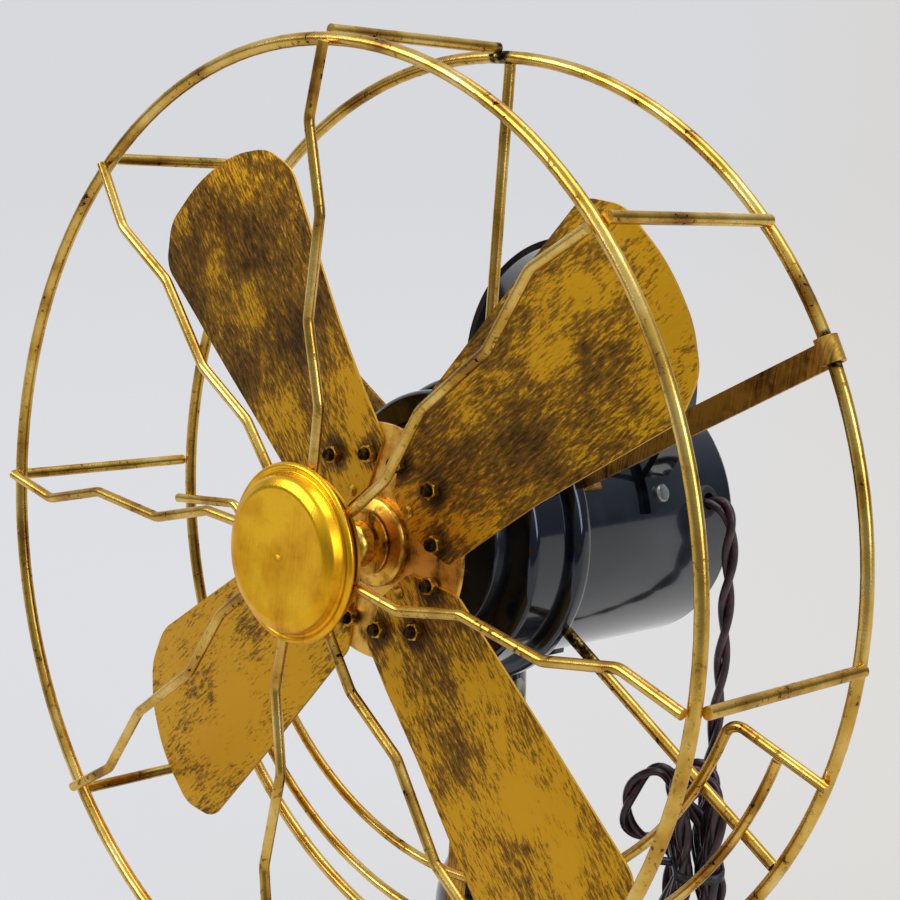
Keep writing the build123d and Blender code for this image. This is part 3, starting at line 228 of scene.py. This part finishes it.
def rubbed_brass(name, light, mid, dark, roughness, patch_size=0.012, scratched=0.35):
    """Brass or gold paint with brown left in its hollows: patches, and short scratches 0.6 mm wide, which make
    up the given share of the pattern."""
    material, tree, shader, here = surface(name)
    patch = add(tree, "ShaderNodeTexNoise", {
        "Vector": here, "Scale": 1 / patch_size, "Detail": 6.0, "Roughness": 0.6})
    turned = add(tree, "ShaderNodeMapping", {
        "Vector": here, "Rotation": (0.4, 0.7, 0.3), "Scale": (1 / 0.0006, 1 / 0.006, 1 / 0.012)})
    scratch = add(tree, "ShaderNodeTexNoise", {"Vector": turned.outputs[0], "Scale": 1.0, "Detail": 3.0})
    both = add(tree, "ShaderNodeMix", {
        "Factor": scratched, 2: patch.outputs["Fac"], 3: scratch.outputs["Fac"]}, data_type="FLOAT")
    hollow, rubbed = 0.36, 0.56
    tone = ramp(tree, both.outputs[0], (hollow, dark), (0.46, mid), (rubbed, light))
    rough = add(tree, "ShaderNodeMapRange", {
        "Value": both.outputs[0], "From Min": hollow, "From Max": rubbed, "To Min": roughness + 0.22,
        "To Max": roughness})
    bump = add(tree, "ShaderNodeBump", {
        "Height": scratch.outputs["Fac"], "Strength": 0.1, "Distance": 0.0003})
    feed(tree, shader, {
        "Base Color": tone, "Roughness": rough.outputs[0], "Normal": bump.outputs[0], "Metallic": 1.0})
    return material


def gloss_black(name, colour, roughness, grain, depth, sheen="#FFFFFF", coat=0.0):
    """Stoved black enamel or moulded black: a little orange peel, grain metres across, and thin dust in
    patches 30 mm across. Sheen tints its reflections, and coat is the share of clear varnish."""
    material, tree, shader, here = surface(name)
    peel = add(tree, "ShaderNodeTexNoise", {"Vector": here, "Scale": 1 / grain, "Detail": 2.0})
    dust = add(tree, "ShaderNodeTexNoise", {"Vector": here, "Scale": 1 / 0.03, "Detail": 8.0})
    tone = ramp(tree, dust.outputs["Fac"], (0.45, colour), (0.8, "#2A2D31"))
    rough = add(tree, "ShaderNodeMapRange", {
        "Value": dust.outputs["Fac"], "From Min": 0.35, "From Max": 0.75, "To Min": roughness,
        "To Max": roughness + 0.12})
    bump = add(tree, "ShaderNodeBump", {"Height": peel.outputs["Fac"], "Strength": depth, "Distance": 0.0004})
    feed(tree, shader, {
        "Base Color": tone, "Roughness": rough.outputs[0], "Normal": bump.outputs[0],
        "Specular Tint": paint(sheen), "Coat Weight": coat, "Coat Roughness": 0.06})
    return material


def plain_metal(name, light, dark, roughness, grain):
    """Zinc plate, lamination or sintered bronze: fine mottling, grain metres across."""
    material, tree, shader, here = surface(name)
    mottle = add(tree, "ShaderNodeTexNoise", {"Vector": here, "Scale": 1 / grain, "Detail": 5.0})
    tone = ramp(tree, mottle.outputs["Fac"], (0.35, dark), (0.65, light))
    rough = add(tree, "ShaderNodeMapRange", {
        "Value": mottle.outputs["Fac"], "To Min": roughness - 0.1, "To Max": roughness + 0.1})
    feed(tree, shader, {"Base Color": tone, "Roughness": rough.outputs[0], "Metallic": 1.0})
    return material


def flex_skin():
    """Glossy dark maroon insulation with worn lighter spots 4 mm across."""
    material, tree, shader, here = surface("maroon_flex")
    wear = add(tree, "ShaderNodeTexNoise", {"Vector": here, "Scale": 1 / 0.004, "Detail": 5.0})
    tone = ramp(tree, wear.outputs["Fac"], (0.35, "#241519"), (0.55, "#3A2228"), (0.72, "#553038"))
    bump = add(tree, "ShaderNodeBump", {"Height": wear.outputs["Fac"], "Strength": 0.1, "Distance": 0.0003})
    feed(tree, shader, {"Base Color": tone, "Roughness": 0.3, "Normal": bump.outputs[0]})
    return material


def pressed_felt():
    """Dark felt: matt, with fibres about 0.5 mm apart."""
    material, tree, shader, here = surface("pressed_felt")
    fibre = add(tree, "ShaderNodeTexNoise", {"Vector": here, "Scale": 1 / 0.0005, "Detail": 3.0})
    tone = ramp(tree, fibre.outputs["Fac"], (0.35, "#161A16"), (0.7, "#2E362D"))
    bump = add(tree, "ShaderNodeBump", {"Height": fibre.outputs["Fac"], "Strength": 0.6, "Distance": 0.0005})
    feed(tree, shader, {"Base Color": tone, "Roughness": 0.95, "Normal": bump.outputs[0]})
    return material


WIRE = gilt_wire()
CAP_GOLD = rubbed_brass("cap_gold", "#F4BC26", "#E4A41A", "#A87414", 0.27, 0.03, 0.12)
HUB_GOLD = rubbed_brass("hub_gold", "#E4B048", "#B4832A", "#4A3212", 0.28, 0.006, 0.15)
DISC_GOLD = rubbed_brass("disc_gold", "#F2C05A", "#D09C3C", "#5A3E1C", 0.38, 0.009, 0.12)
STRAP_GOLD = rubbed_brass("strap_gold", "#CFA044", "#9A7030", "#3E2A14", 0.42, 0.01)
NUT_GOLD = rubbed_brass("nut_gold", "#DCA83C", "#A87A26", "#4A3214", 0.3, 0.003)
# bolts painted near black: painted shade for their ends down in the nuts' bores
BOLT_PAINTED_SHADE = rubbed_brass("bolt_painted_shade", "#4A3618", "#22180C", "#120C07", 0.5, 0.002)
DOME_BRASS = rubbed_brass("dome_brass", "#E6B652", "#C08E34", "#6A4818", 0.2, 0.01)
ENAMEL = gloss_black("stoved_enamel", "#080B10", 0.1, 0.004, 0.05, "#B8CDEE", 0.7)
CASTING = gloss_black("enamel_on_casting", "#0A0C10", 0.16, 0.0025, 0.12, "#B8CDEE", 0.7)
BAKELITE = gloss_black("black_bakelite", "#100D0C", 0.24, 0.002, 0.05)
RUBBER = gloss_black("black_rubber", "#141414", 0.55, 0.001, 0.1)
TIE_SKIN = gloss_black("black_tie_skin", "#0A0A0B", 0.35, 0.001, 0.08)
ZINC = plain_metal("zinc_plate", "#B9BAB6", "#8C8D8A", 0.38, 0.003)
CORE = plain_metal("core_steel", "#77777A", "#56565A", 0.5, 0.0015)
COPPER = plain_metal("enamelled_copper", "#A2552A", "#743818", 0.35, 0.0012)
BRONZE = plain_metal("bearing_bronze", "#A07C42", "#6E5228", 0.45, 0.001)
PIN_BRASS = plain_metal("pin_brass", "#D2AC5E", "#AE8840", 0.28, 0.004)
FLEX = flex_skin()
FELT = pressed_felt()

FINISHES = [
    (WIRE, "front_ring rear_ring guard_struts rear_rods inner_arc_1 inner_arc_2 front_wire_1 front_wire_2 "
           "front_wire_3 front_wire_4 front_wire_5 front_wire_6 front_wire_7 front_wire_8"),
    (CAP_GOLD, "guard_cap cap_back"),
    (STRAP_GOLD, "rear_straps"),
    (HUB_GOLD, "hub_boss"),
    (DISC_GOLD, "spider_disc"),
    (DOME_BRASS, "hub_nut"),
    (BOLT_PAINTED_SHADE, "blade_bolts"),
    (NUT_GOLD, "blade_nuts blade_rivets"),
    (ENAMEL, "motor_shell front_bell clamp_ring rear_cover carry_handle tilt_lug tilt_fork pole"),
    (CASTING, "base_bell"),
    (ZINC, "cap_screw cover_screws handle_screws strap_screws base_screws tilt_bolt base_plate pole_nut"),
    (CORE, "shaft rotor_core stator_core"),
    (COPPER, "stator_coils"),
    (BRONZE, "front_bearing rear_bearing"),
    (RUBBER, "grommet"),
    (BAKELITE, "plug_body tilt_knob"),
    (PIN_BRASS, "plug_pins"),
    (FELT, "base_felt"),
    (FLEX, "cord_drop cord_hank cord_tail"),
    (TIE_SKIN, "cord_tie"),
]
# one copy of the blade gold for each blade, each with its own painted light and shade
for number, (clock, *light_stops) in enumerate(BLADE_PAINTED_LIGHT, 1):
    FINISHES.append((brushed_gold("brushed_gold_%d" % number, clock, *light_stops), "blade_%d" % number))
for material, names in FINISHES:
    for name in names.split():
        nodes[name].data.materials.clear()
        nodes[name].data.materials.append(material)


def placed(name, data):
    """Object with the given data, in the scene."""
    made = bpy.data.objects.new(name, data)
    bpy.context.scene.collection.objects.link(made)
    return made


def mesh_of(name, parts, material, smooth=True):
    """One object from several (points, faces) parts."""
    points, faces, start = [], [], 0
    for part_points, part_faces in parts:
        points.append(part_points)
        faces += [[i + start for i in face] for face in part_faces]
        start += len(part_points)
    mesh = bpy.data.meshes.new(name)
    mesh.from_pydata(np.concatenate(points).tolist(), [], faces)
    mesh.polygons.foreach_set("use_smooth", [smooth] * len(mesh.polygons))
    mesh.materials.append(material)
    return placed(name, mesh)


# ---- the nuts on the blades, smaller across their flats than the model's
NUT_FLATS = 0.0056
NUT_BORE_R = 0.00208
NUT_BACK = 0.0320
NUT_THICK = 0.0026
NUT_FLARE = 0.0002      # how much the bore opens at its front
NUT_LEAD = 0.0003       # depth of that flare, and of the front round
NUT_CHAMFER = 0.0007    # depth at which the six corners are whole
NUT_STEPS = 48


def hex_nut(blade_clock, across, out):
    """Nut on a blade: a closed grid of an angle round it and the corners of its section. The outside is
    flats / 2 over the cosine of the angle from the middle of a flat, held to a round at the front chamfer."""
    angle = np.linspace(0, 2 * math.pi, NUT_STEPS, endpoint=False)
    hexagon = NUT_FLATS / 2 / np.cos((angle + math.pi / 6) % (math.pi / 3) - math.pi / 6)
    front_round = np.minimum(hexagon, NUT_FLATS / 2 * 0.97)
    chamfer = np.minimum(hexagon, NUT_FLATS / 2 * 1.08)
    bore = np.full(NUT_STEPS, NUT_BORE_R)
    front = NUT_BACK - NUT_THICK
    section = (
        (bore + NUT_FLARE, front), (front_round, front), (chamfer, front + NUT_LEAD),
        (hexagon, front + NUT_CHAMFER), (hexagon, NUT_BACK), (bore, NUT_BACK), (bore, front + NUT_LEAD))
    a = math.radians(blade_clock)
    rows = []
    for radius, back in section:
        x, z = across + radius * np.cos(angle), out + radius * np.sin(angle)
        rows.append(np.stack([x * math.cos(a) + z * math.sin(a), np.full(NUT_STEPS, back),
                              z * math.cos(a) - x * math.sin(a)], axis=1))
    points = np.stack(rows, axis=1).reshape(-1, 3) + np.array(RING_FROM_PIVOT)
    turned = points @ np.array(Matrix.Rotation(-HEAD_UP, 3, "X")).T + np.array(PIVOT)
    n = len(section)
    i, j = np.meshgrid(np.arange(NUT_STEPS), np.arange(n), indexing="ij")
    p, q = i * n + j, i * n + (j + 1) % n
    after = ((i + 1) % NUT_STEPS) * n
    return turned, np.stack([q, after + (j + 1) % n, after + j, p], axis=-1).reshape(-1, 4).tolist()


all_nuts = [hex_nut(clock, *spot) for clock, *_ in BLADE_PAINTED_LIGHT for spot in NUT_SPOTS]
nuts = mesh_of("small_blade_nuts", all_nuts, NUT_GOLD, smooth=False)
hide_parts("blade_nuts")
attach(nuts, "rotor")


# ---- the cord: two cores twisted about one line, whose control points are in millimetres
DROP = [(45.02, 60.67, 219.64), (52.13, 61.08, 222.0), (57.6, 61.2, 217.0), (58.3, 61.2, 206.0),
        (57.4, 61.5, 186.0), (57.0, 61.2, 161.0), (54.8, 61.8, 134.0), (52.11, 62.96, 116.0), (52.4, 61.6, 106.0)]
TAIL = [(89.37, 26.98, 71.0), (89.37, 26.98, 57.0), (90.6, 27.5, 43.0), (93.8, 28.6, 29.0),
        (100.0, 30.8, 16.0), (108.0, 36.0, 6.0), (115.0, 46.5, 3.6), (118.4, 60.0, 7.0), (116.2, 74.0, 14.4),
        (113.8, 86.0, 14.4)]

HANK_AT = Vector((55.0, 55.3, 0))
HANK_TURN = math.radians(46)
WAIST = 95.0             # height of the tie
LEG_MIDDLE = -4.8        # halfway between the two runs of the hank, which hang this far left of HANK_AT
LEG_HALF = 4.3
TURNS = 6
STEP = 6.2               # from one layer to the next
FIRST_LAYER = -1.0
TWIST = 0.044            # the two cores go once round each other in about this length
UNEVEN = 0.9             # by how many radians the twist runs ahead and behind
UNEVEN_LENGTH = 0.037
CORE_R = 0.0015
ROUTE_STEP = 0.0016


def hank_place(x, y, z):
    """A point of the hank's own frame, x across it and y along its layers."""
    return (HANK_AT.x + x * math.cos(HANK_TURN) - y * math.sin(HANK_TURN),
            HANK_AT.y + x * math.sin(HANK_TURN) + y * math.cos(HANK_TURN), z)


def turn_points(k):
    """One turn: down the right run, round the foot, up the left run, over the top and a layer nearer. The
    second turn's top hangs out to the left as one slack loop, and the fifth turn's right run bows out under the
    tie."""
    y = FIRST_LAYER - k * STEP
    wide, foot = LEG_HALF + 4.0, 42.0 + 2.0 * (k % 2)
    bow = (3.0, 5.4, 3.4) if k == 4 else (0.0, 0.2, 0.6)
    points = [(LEG_HALF, y, WAIST), (LEG_HALF + bow[0], y, 87.0), (LEG_HALF + bow[1], y, 80.5),
              (LEG_HALF + bow[2], y, 72.0), (wide, y, 60.0), (wide - 0.5, y, 49.5), (3.0, y, foot),
              (-3.0, y, foot), (0.5 - wide, y, 49.5), (-wide, y, 60.0), (-LEG_HALF - 0.6, y, 74.0)]
    if k == 1:
        points += [(x - LEG_MIDDLE, y - nearer, z) for x, z, nearer in (
            (-9.2, 82.0, 0.0), (-11.5, 87.5, 0.0), (-17.0, 90.6, 0.0), (-24.0, 92.2, 0.0), (-29.0, 98.0, 0.3),
            (-29.0, 107.5, 0.6), (-25.0, 117.0, 0.9), (-18.5, 122.0, 1.2), (-13.0, 119.0, 1.6),
            (-9.5, 111.0, 2.0), (-5.0, 105.0, 2.8), (-0.8, 101.0, 4.2))]
    else:
        top = min(119.5 - 0.55 * y, 127.5) - 2.0 * (k == 3)
        points += [(-LEG_HALF, y, 86.0), (-LEG_HALF, y, WAIST)]
        points += [(x, y - share * STEP, top - down) for x, down, share in (
            (-6.0, 14.0, 0.1), (-6.6, 6.0, 0.25), (-3.2, 0.0, 0.42), (3.2, 0.0, 0.58), (6.6, 6.0, 0.75),
            (6.0, 14.0, 0.9))]
    return [hank_place(x + LEG_MIDDLE, y, z) for x, y, z in points]


def hank_points():
    """All the turns, then the last run down to the tail."""
    points = []
    for k in range(TURNS):
        points += turn_points(k)
    last = FIRST_LAYER - TURNS * STEP
    return points + [hank_place(LEG_MIDDLE + LEG_HALF, last, z) for z in (WAIST, 84.0)]


def smooth_line(points):
    """Points in metres along one smooth NURBS spline of order 3, whose control points are in millimetres."""
    curve = bpy.data.curves.new("flex_route", "CURVE")
    curve.dimensions = "3D"
    curve.resolution_u = 9
    spline = curve.splines.new("NURBS")
    spline.points.add(len(points) - 1)
    spline.points.foreach_set("co", [c for p in points for c in (*(Vector(p) / 1000), 1.0)])
    spline.order_u = 3
    spline.use_endpoint_u = True
    holder = placed("flex_route", curve)
    mesh = bpy.data.meshes.new_from_object(holder)
    line = np.zeros(len(mesh.vertices) * 3)
    mesh.vertices.foreach_get("co", line)
    bpy.data.objects.remove(holder)
    bpy.data.meshes.remove(mesh)
    return line.reshape(-1, 3)


def even(line, step):
    """The same line with points a fixed distance apart, and each one's distance along it."""
    along = np.concatenate([[0], np.cumsum(np.linalg.norm(np.diff(line, axis=0), axis=1))])
    at = np.linspace(0, along[-1], int(along[-1] / step) + 1)
    return np.stack([np.interp(at, along, line[:, i]) for i in range(3)], axis=1), at


def carried_sides(line):
    """At each point of a line, two sides square to it and to each other, carried along without twist: each side
    is the last one less its part along the line, made one long again."""
    way = np.gradient(line, axis=0)
    way /= np.linalg.norm(way, axis=1)[:, None]
    side = np.zeros_like(line)
    start = np.cross(way[0], (0.3, 0.5, 0.81))
    side[0] = start / np.linalg.norm(start)
    for i in range(1, len(line)):
        s = side[i - 1] - way[i] * (side[i - 1] @ way[i])
        side[i] = s / np.linalg.norm(s)
    return side, np.cross(way, side)


def closed_tube(line, radius, steps):
    """Round tube along a line: a ring of points at each step, joined in a grid, and a flat face at each end."""
    side, other = carried_sides(line)
    angle = np.linspace(0, 2 * math.pi, steps, endpoint=False)
    ring = np.cos(angle)[None, :, None] * side[:, None] + np.sin(angle)[None, :, None] * other[:, None]
    points = (line[:, None] + radius * ring).reshape(-1, 3)
    rows, cols = np.meshgrid(np.arange(len(line) - 1), np.arange(steps), indexing="ij")
    a = rows * steps + cols
    b = rows * steps + (cols + 1) % steps
    faces = np.stack([a, b, b + steps, a + steps], axis=-1).reshape(-1, 4).tolist()
    faces.append(list(range(steps))[::-1])
    faces.append(list(range((len(line) - 1) * steps, len(line) * steps)))
    return points, faces


def twisted_cores(line, along):
    """Two tubes half a turn apart, each its own radius off the line. The angle about the line grows evenly with
    the distance along, one turn in TWIST, plus a sine that makes it a little uneven."""
    side, other = carried_sides(line)
    angle = 2 * math.pi * along / TWIST + UNEVEN * np.sin(along / UNEVEN_LENGTH)
    cores = []
    for phase in (0.0, math.pi):
        offset = np.cos(angle + phase)[:, None] * side + np.sin(angle + phase)[:, None] * other
        cores.append(closed_tube(line + offset * CORE_R, CORE_R * 1.02, 10))
    return cores


route, route_along = even(smooth_line(DROP + hank_points() + TAIL), ROUTE_STEP)
flex = mesh_of("twisted_flex", twisted_cores(route, route_along), FLEX)
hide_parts("cord_drop", "cord_hank", "cord_tail")
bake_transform(flex)


# ---- the tie: a flat band round the hank's waist
TIE_CLEAR = 3.9          # from the outermost centre lines to the band
TIE_CORNER = 5.0
TIE_STEPS = 64
TIE_END_LAYER = -30.0    # where along the layers the free end leaves the band
FAR = 99                 # well past the band on any side


def flat_band(line, outward, high, thick, closed):
    """Flat strip along a line, upright: four corners at each point, half its height up and down, on the line
    and a thickness outward of it."""
    corners = [line + out * thick * outward + (0, 0, up * high / 2)
               for out, up in ((0, -1), (1, -1), (1, 1), (0, 1))]
    points = np.stack(corners, axis=1).reshape(-1, 3)
    rows = np.arange(len(line) if closed else len(line) - 1)[:, None]
    sides = np.arange(4)[None, :]
    after = (rows + 1) % len(line)
    a, b = rows * 4 + sides, rows * 4 + (sides + 1) % 4
    faces = np.stack([a, b, after * 4 + (sides + 1) % 4, after * 4 + sides], axis=-1).reshape(-1, 4).tolist()
    if not closed:
        faces += [[3, 2, 1, 0], [len(points) - 4 + i for i in range(4)]]
    return points, faces


def tie_parts():
    """The band about all the runs, and its free end out to the left. The band is an oblong with round corners:
    across it the cosine of the angle, made large and clipped to the oblong's half width less the corner's
    radius, plus that radius times the cosine, and along the layers the same with the sine."""
    angle = np.linspace(2 * math.pi, 0, TIE_STEPS, endpoint=False)
    half_x, half_y = LEG_HALF + TIE_CLEAR, TURNS * STEP / 2 + TIE_CLEAR
    x, y = (np.clip(turned * FAR, TIE_CORNER - half, half - TIE_CORNER) + TIE_CORNER * turned
            for turned, half in ((np.cos(angle), half_x), (np.sin(angle), half_y)))
    line = np.stack(hank_place(x + LEG_MIDDLE, y + FIRST_LAYER - TURNS * STEP / 2, np.full(TIE_STEPS, WAIST)),
                    axis=1)
    out = np.stack(hank_place(np.cos(angle), np.sin(angle), angle * 0), axis=1) - np.array(HANK_AT)
    along = np.linspace(0, 1, 12)
    end = np.stack(hank_place(LEG_MIDDLE - half_x + 0.5 - 7.5 * along, TIE_END_LAYER - 1.2 * along,
                              WAIST + 1.6 * along), axis=1)
    left = np.array([math.sin(HANK_TURN), -math.cos(HANK_TURN), 0])
    return [flat_band(line / 1000, out, 0.0034, 0.0011, True),
            flat_band(end / 1000, left[None, :], 0.003, 0.001, False)]


tie = mesh_of("cord_binding", tie_parts(), TIE_SKIN)
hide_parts("cord_tie")
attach(tie, "stand")


# ---- floor and backdrop in one sheet of paper, the world, lamps and camera
CAMERA_AT = (0.4804, -0.4850, 0.4941)
CAMERA_AHEAD = (-0.6764, 0.6507, -0.3450)
CAMERA_RIGHT = (0.6938, 0.7202, -0.0013)
CAMERA_LENS = 82.28      # mm, on a sensor 36 mm wide
RISE_FROM = 1.6          # metres behind the object
RISE_RATE = 1.6


def backdrop_paper():
    """Matt paper that shows its own colour to the camera and in reflections, cool on the left and warm on the
    right, and still takes the object's shadow."""
    paper = bpy.data.materials.new("backdrop_paper")
    tree = empty_tree(paper)
    here = add(tree, "ShaderNodeTexCoord").outputs["Object"]
    to_right = add(tree, "ShaderNodeVectorMath", {0: here, 1: (0.863, 0.557, 0)}, operation="DOT_PRODUCT")
    spread = add(tree, "ShaderNodeMapRange", {
        "Value": to_right.outputs["Value"], "From Min": -0.3, "From Max": 0.35})
    tint = ramp(tree, spread.outputs[0], (0.3, "#DDDDDF"), (1.0, "#DED9D0"))
    matt = add(tree, "ShaderNodeBsdfDiffuse", {"Color": tint})
    glow = add(tree, "ShaderNodeEmission", {"Color": tint, "Strength": 1.0})
    ray = add(tree, "ShaderNodeLightPath").outputs
    seen = add(tree, "ShaderNodeMath", {
        0: ray["Is Camera Ray"], 1: ray["Is Glossy Ray"]}, operation="MAXIMUM")
    seen = add(tree, "ShaderNodeMath", {
        0: seen.outputs[0], 1: ray["Is Transmission Ray"]}, operation="MAXIMUM")
    share = add(tree, "ShaderNodeMath", {0: seen.outputs[0], 1: 0.8}, operation="MULTIPLY")
    mixed = add(tree, "ShaderNodeMixShader", {0: share.outputs[0], 1: matt.outputs[0], 2: glow.outputs[0]})
    add(tree, "ShaderNodeOutputMaterial", {"Surface": mixed.outputs[0]})
    return paper


def paper_sheet():
    """A grid 8 m wide and 6 m deep, flat until RISE_FROM behind the object and then as high as RISE_RATE times
    the square of the distance past it, turned so that its far side faces the camera's view."""
    across, back = np.meshgrid(np.linspace(-4, 4, 5), np.linspace(-3, 3, 40), indexing="xy")
    rise = np.clip(back - RISE_FROM, 0, None) ** 2 * RISE_RATE
    facing = math.atan2(-CAMERA_AHEAD[0], CAMERA_AHEAD[1])
    grid = np.stack([across * math.cos(facing) - back * math.sin(facing),
                     across * math.sin(facing) + back * math.cos(facing), rise], axis=-1).reshape(-1, 3)
    cell = np.arange(39)[:, None] * 5 + np.arange(4)[None, :]
    return grid, np.stack([cell, cell + 1, cell + 6, cell + 5], axis=-1).reshape(-1, 4).tolist()


floor = mesh_of("studio_floor", [paper_sheet()], backdrop_paper())

world = bpy.data.worlds.new("studio")
bpy.context.scene.world = world
tree = empty_tree(world)
ray = add(tree, "ShaderNodeLightPath").outputs
seen = add(tree, "ShaderNodeMath", {
    0: ray["Is Camera Ray"], 1: ray["Is Transmission Ray"]}, operation="MAXIMUM")
far = add(tree, "ShaderNodeBackground", {"Color": paint("#DCDEE0"), "Strength": 1.0})
# brighter overhead than at the sides, so that reflections have a top and a bottom
height = add(tree, "ShaderNodeSeparateXYZ", {0: add(tree, "ShaderNodeTexCoord").outputs["Generated"]})
sky = ramp(tree, height.outputs["Z"], (0.0, 0.22), (0.25, 0.3), (0.75, 1.0))
fill = add(tree, "ShaderNodeBackground", {"Color": paint("#D2DCEC"), "Strength": sky})
mixed = add(tree, "ShaderNodeMixShader", {0: seen.outputs[0], 1: fill.outputs[0], 2: far.outputs[0]})
add(tree, "ShaderNodeOutputWorld", {"Surface": mixed.outputs[0]})


def window(name, place, wide, high, watts, colour):
    """Rectangular soft lamp at a place, facing the middle of the object."""
    lamp = bpy.data.lights.new(name, "AREA")
    lamp.shape = "RECTANGLE"
    lamp.size, lamp.size_y, lamp.energy, lamp.color = wide, high, watts, paint(colour)[:3]
    holder = placed(name, lamp)
    holder.location = place
    holder.rotation_euler = (Vector((0, 0, 0.2)) - Vector(place)).to_track_quat("-Z", "Y").to_euler()


window("window_left", (-0.9, -1.2, 1.3), 0.9, 0.9, 16, "#FFFFFF")
window("window_right", (1.5, 0.1, 0.9), 0.6, 0.9, 9, "#E6ECF6")
window("ceiling", (0.1, 0.5, 1.6), 1.2, 0.8, 9, "#FFF8EC")

camera_data = bpy.data.cameras.new("camera")
camera_data.sensor_width = 36.0
camera_data.lens = CAMERA_LENS
camera_data.clip_start = 0.01
camera = placed("camera", camera_data)
ahead = Vector(CAMERA_AHEAD).normalized()
right = Vector(CAMERA_RIGHT)
right = (right - ahead * right.dot(ahead)).normalized()
up = right.cross(ahead)
camera.matrix_world = Matrix.Translation(CAMERA_AT) @ Matrix((right, up, -ahead)).transposed().to_4x4()
bpy.context.scene.camera = camera
bpy.context.scene.view_settings.view_transform = "Standard"
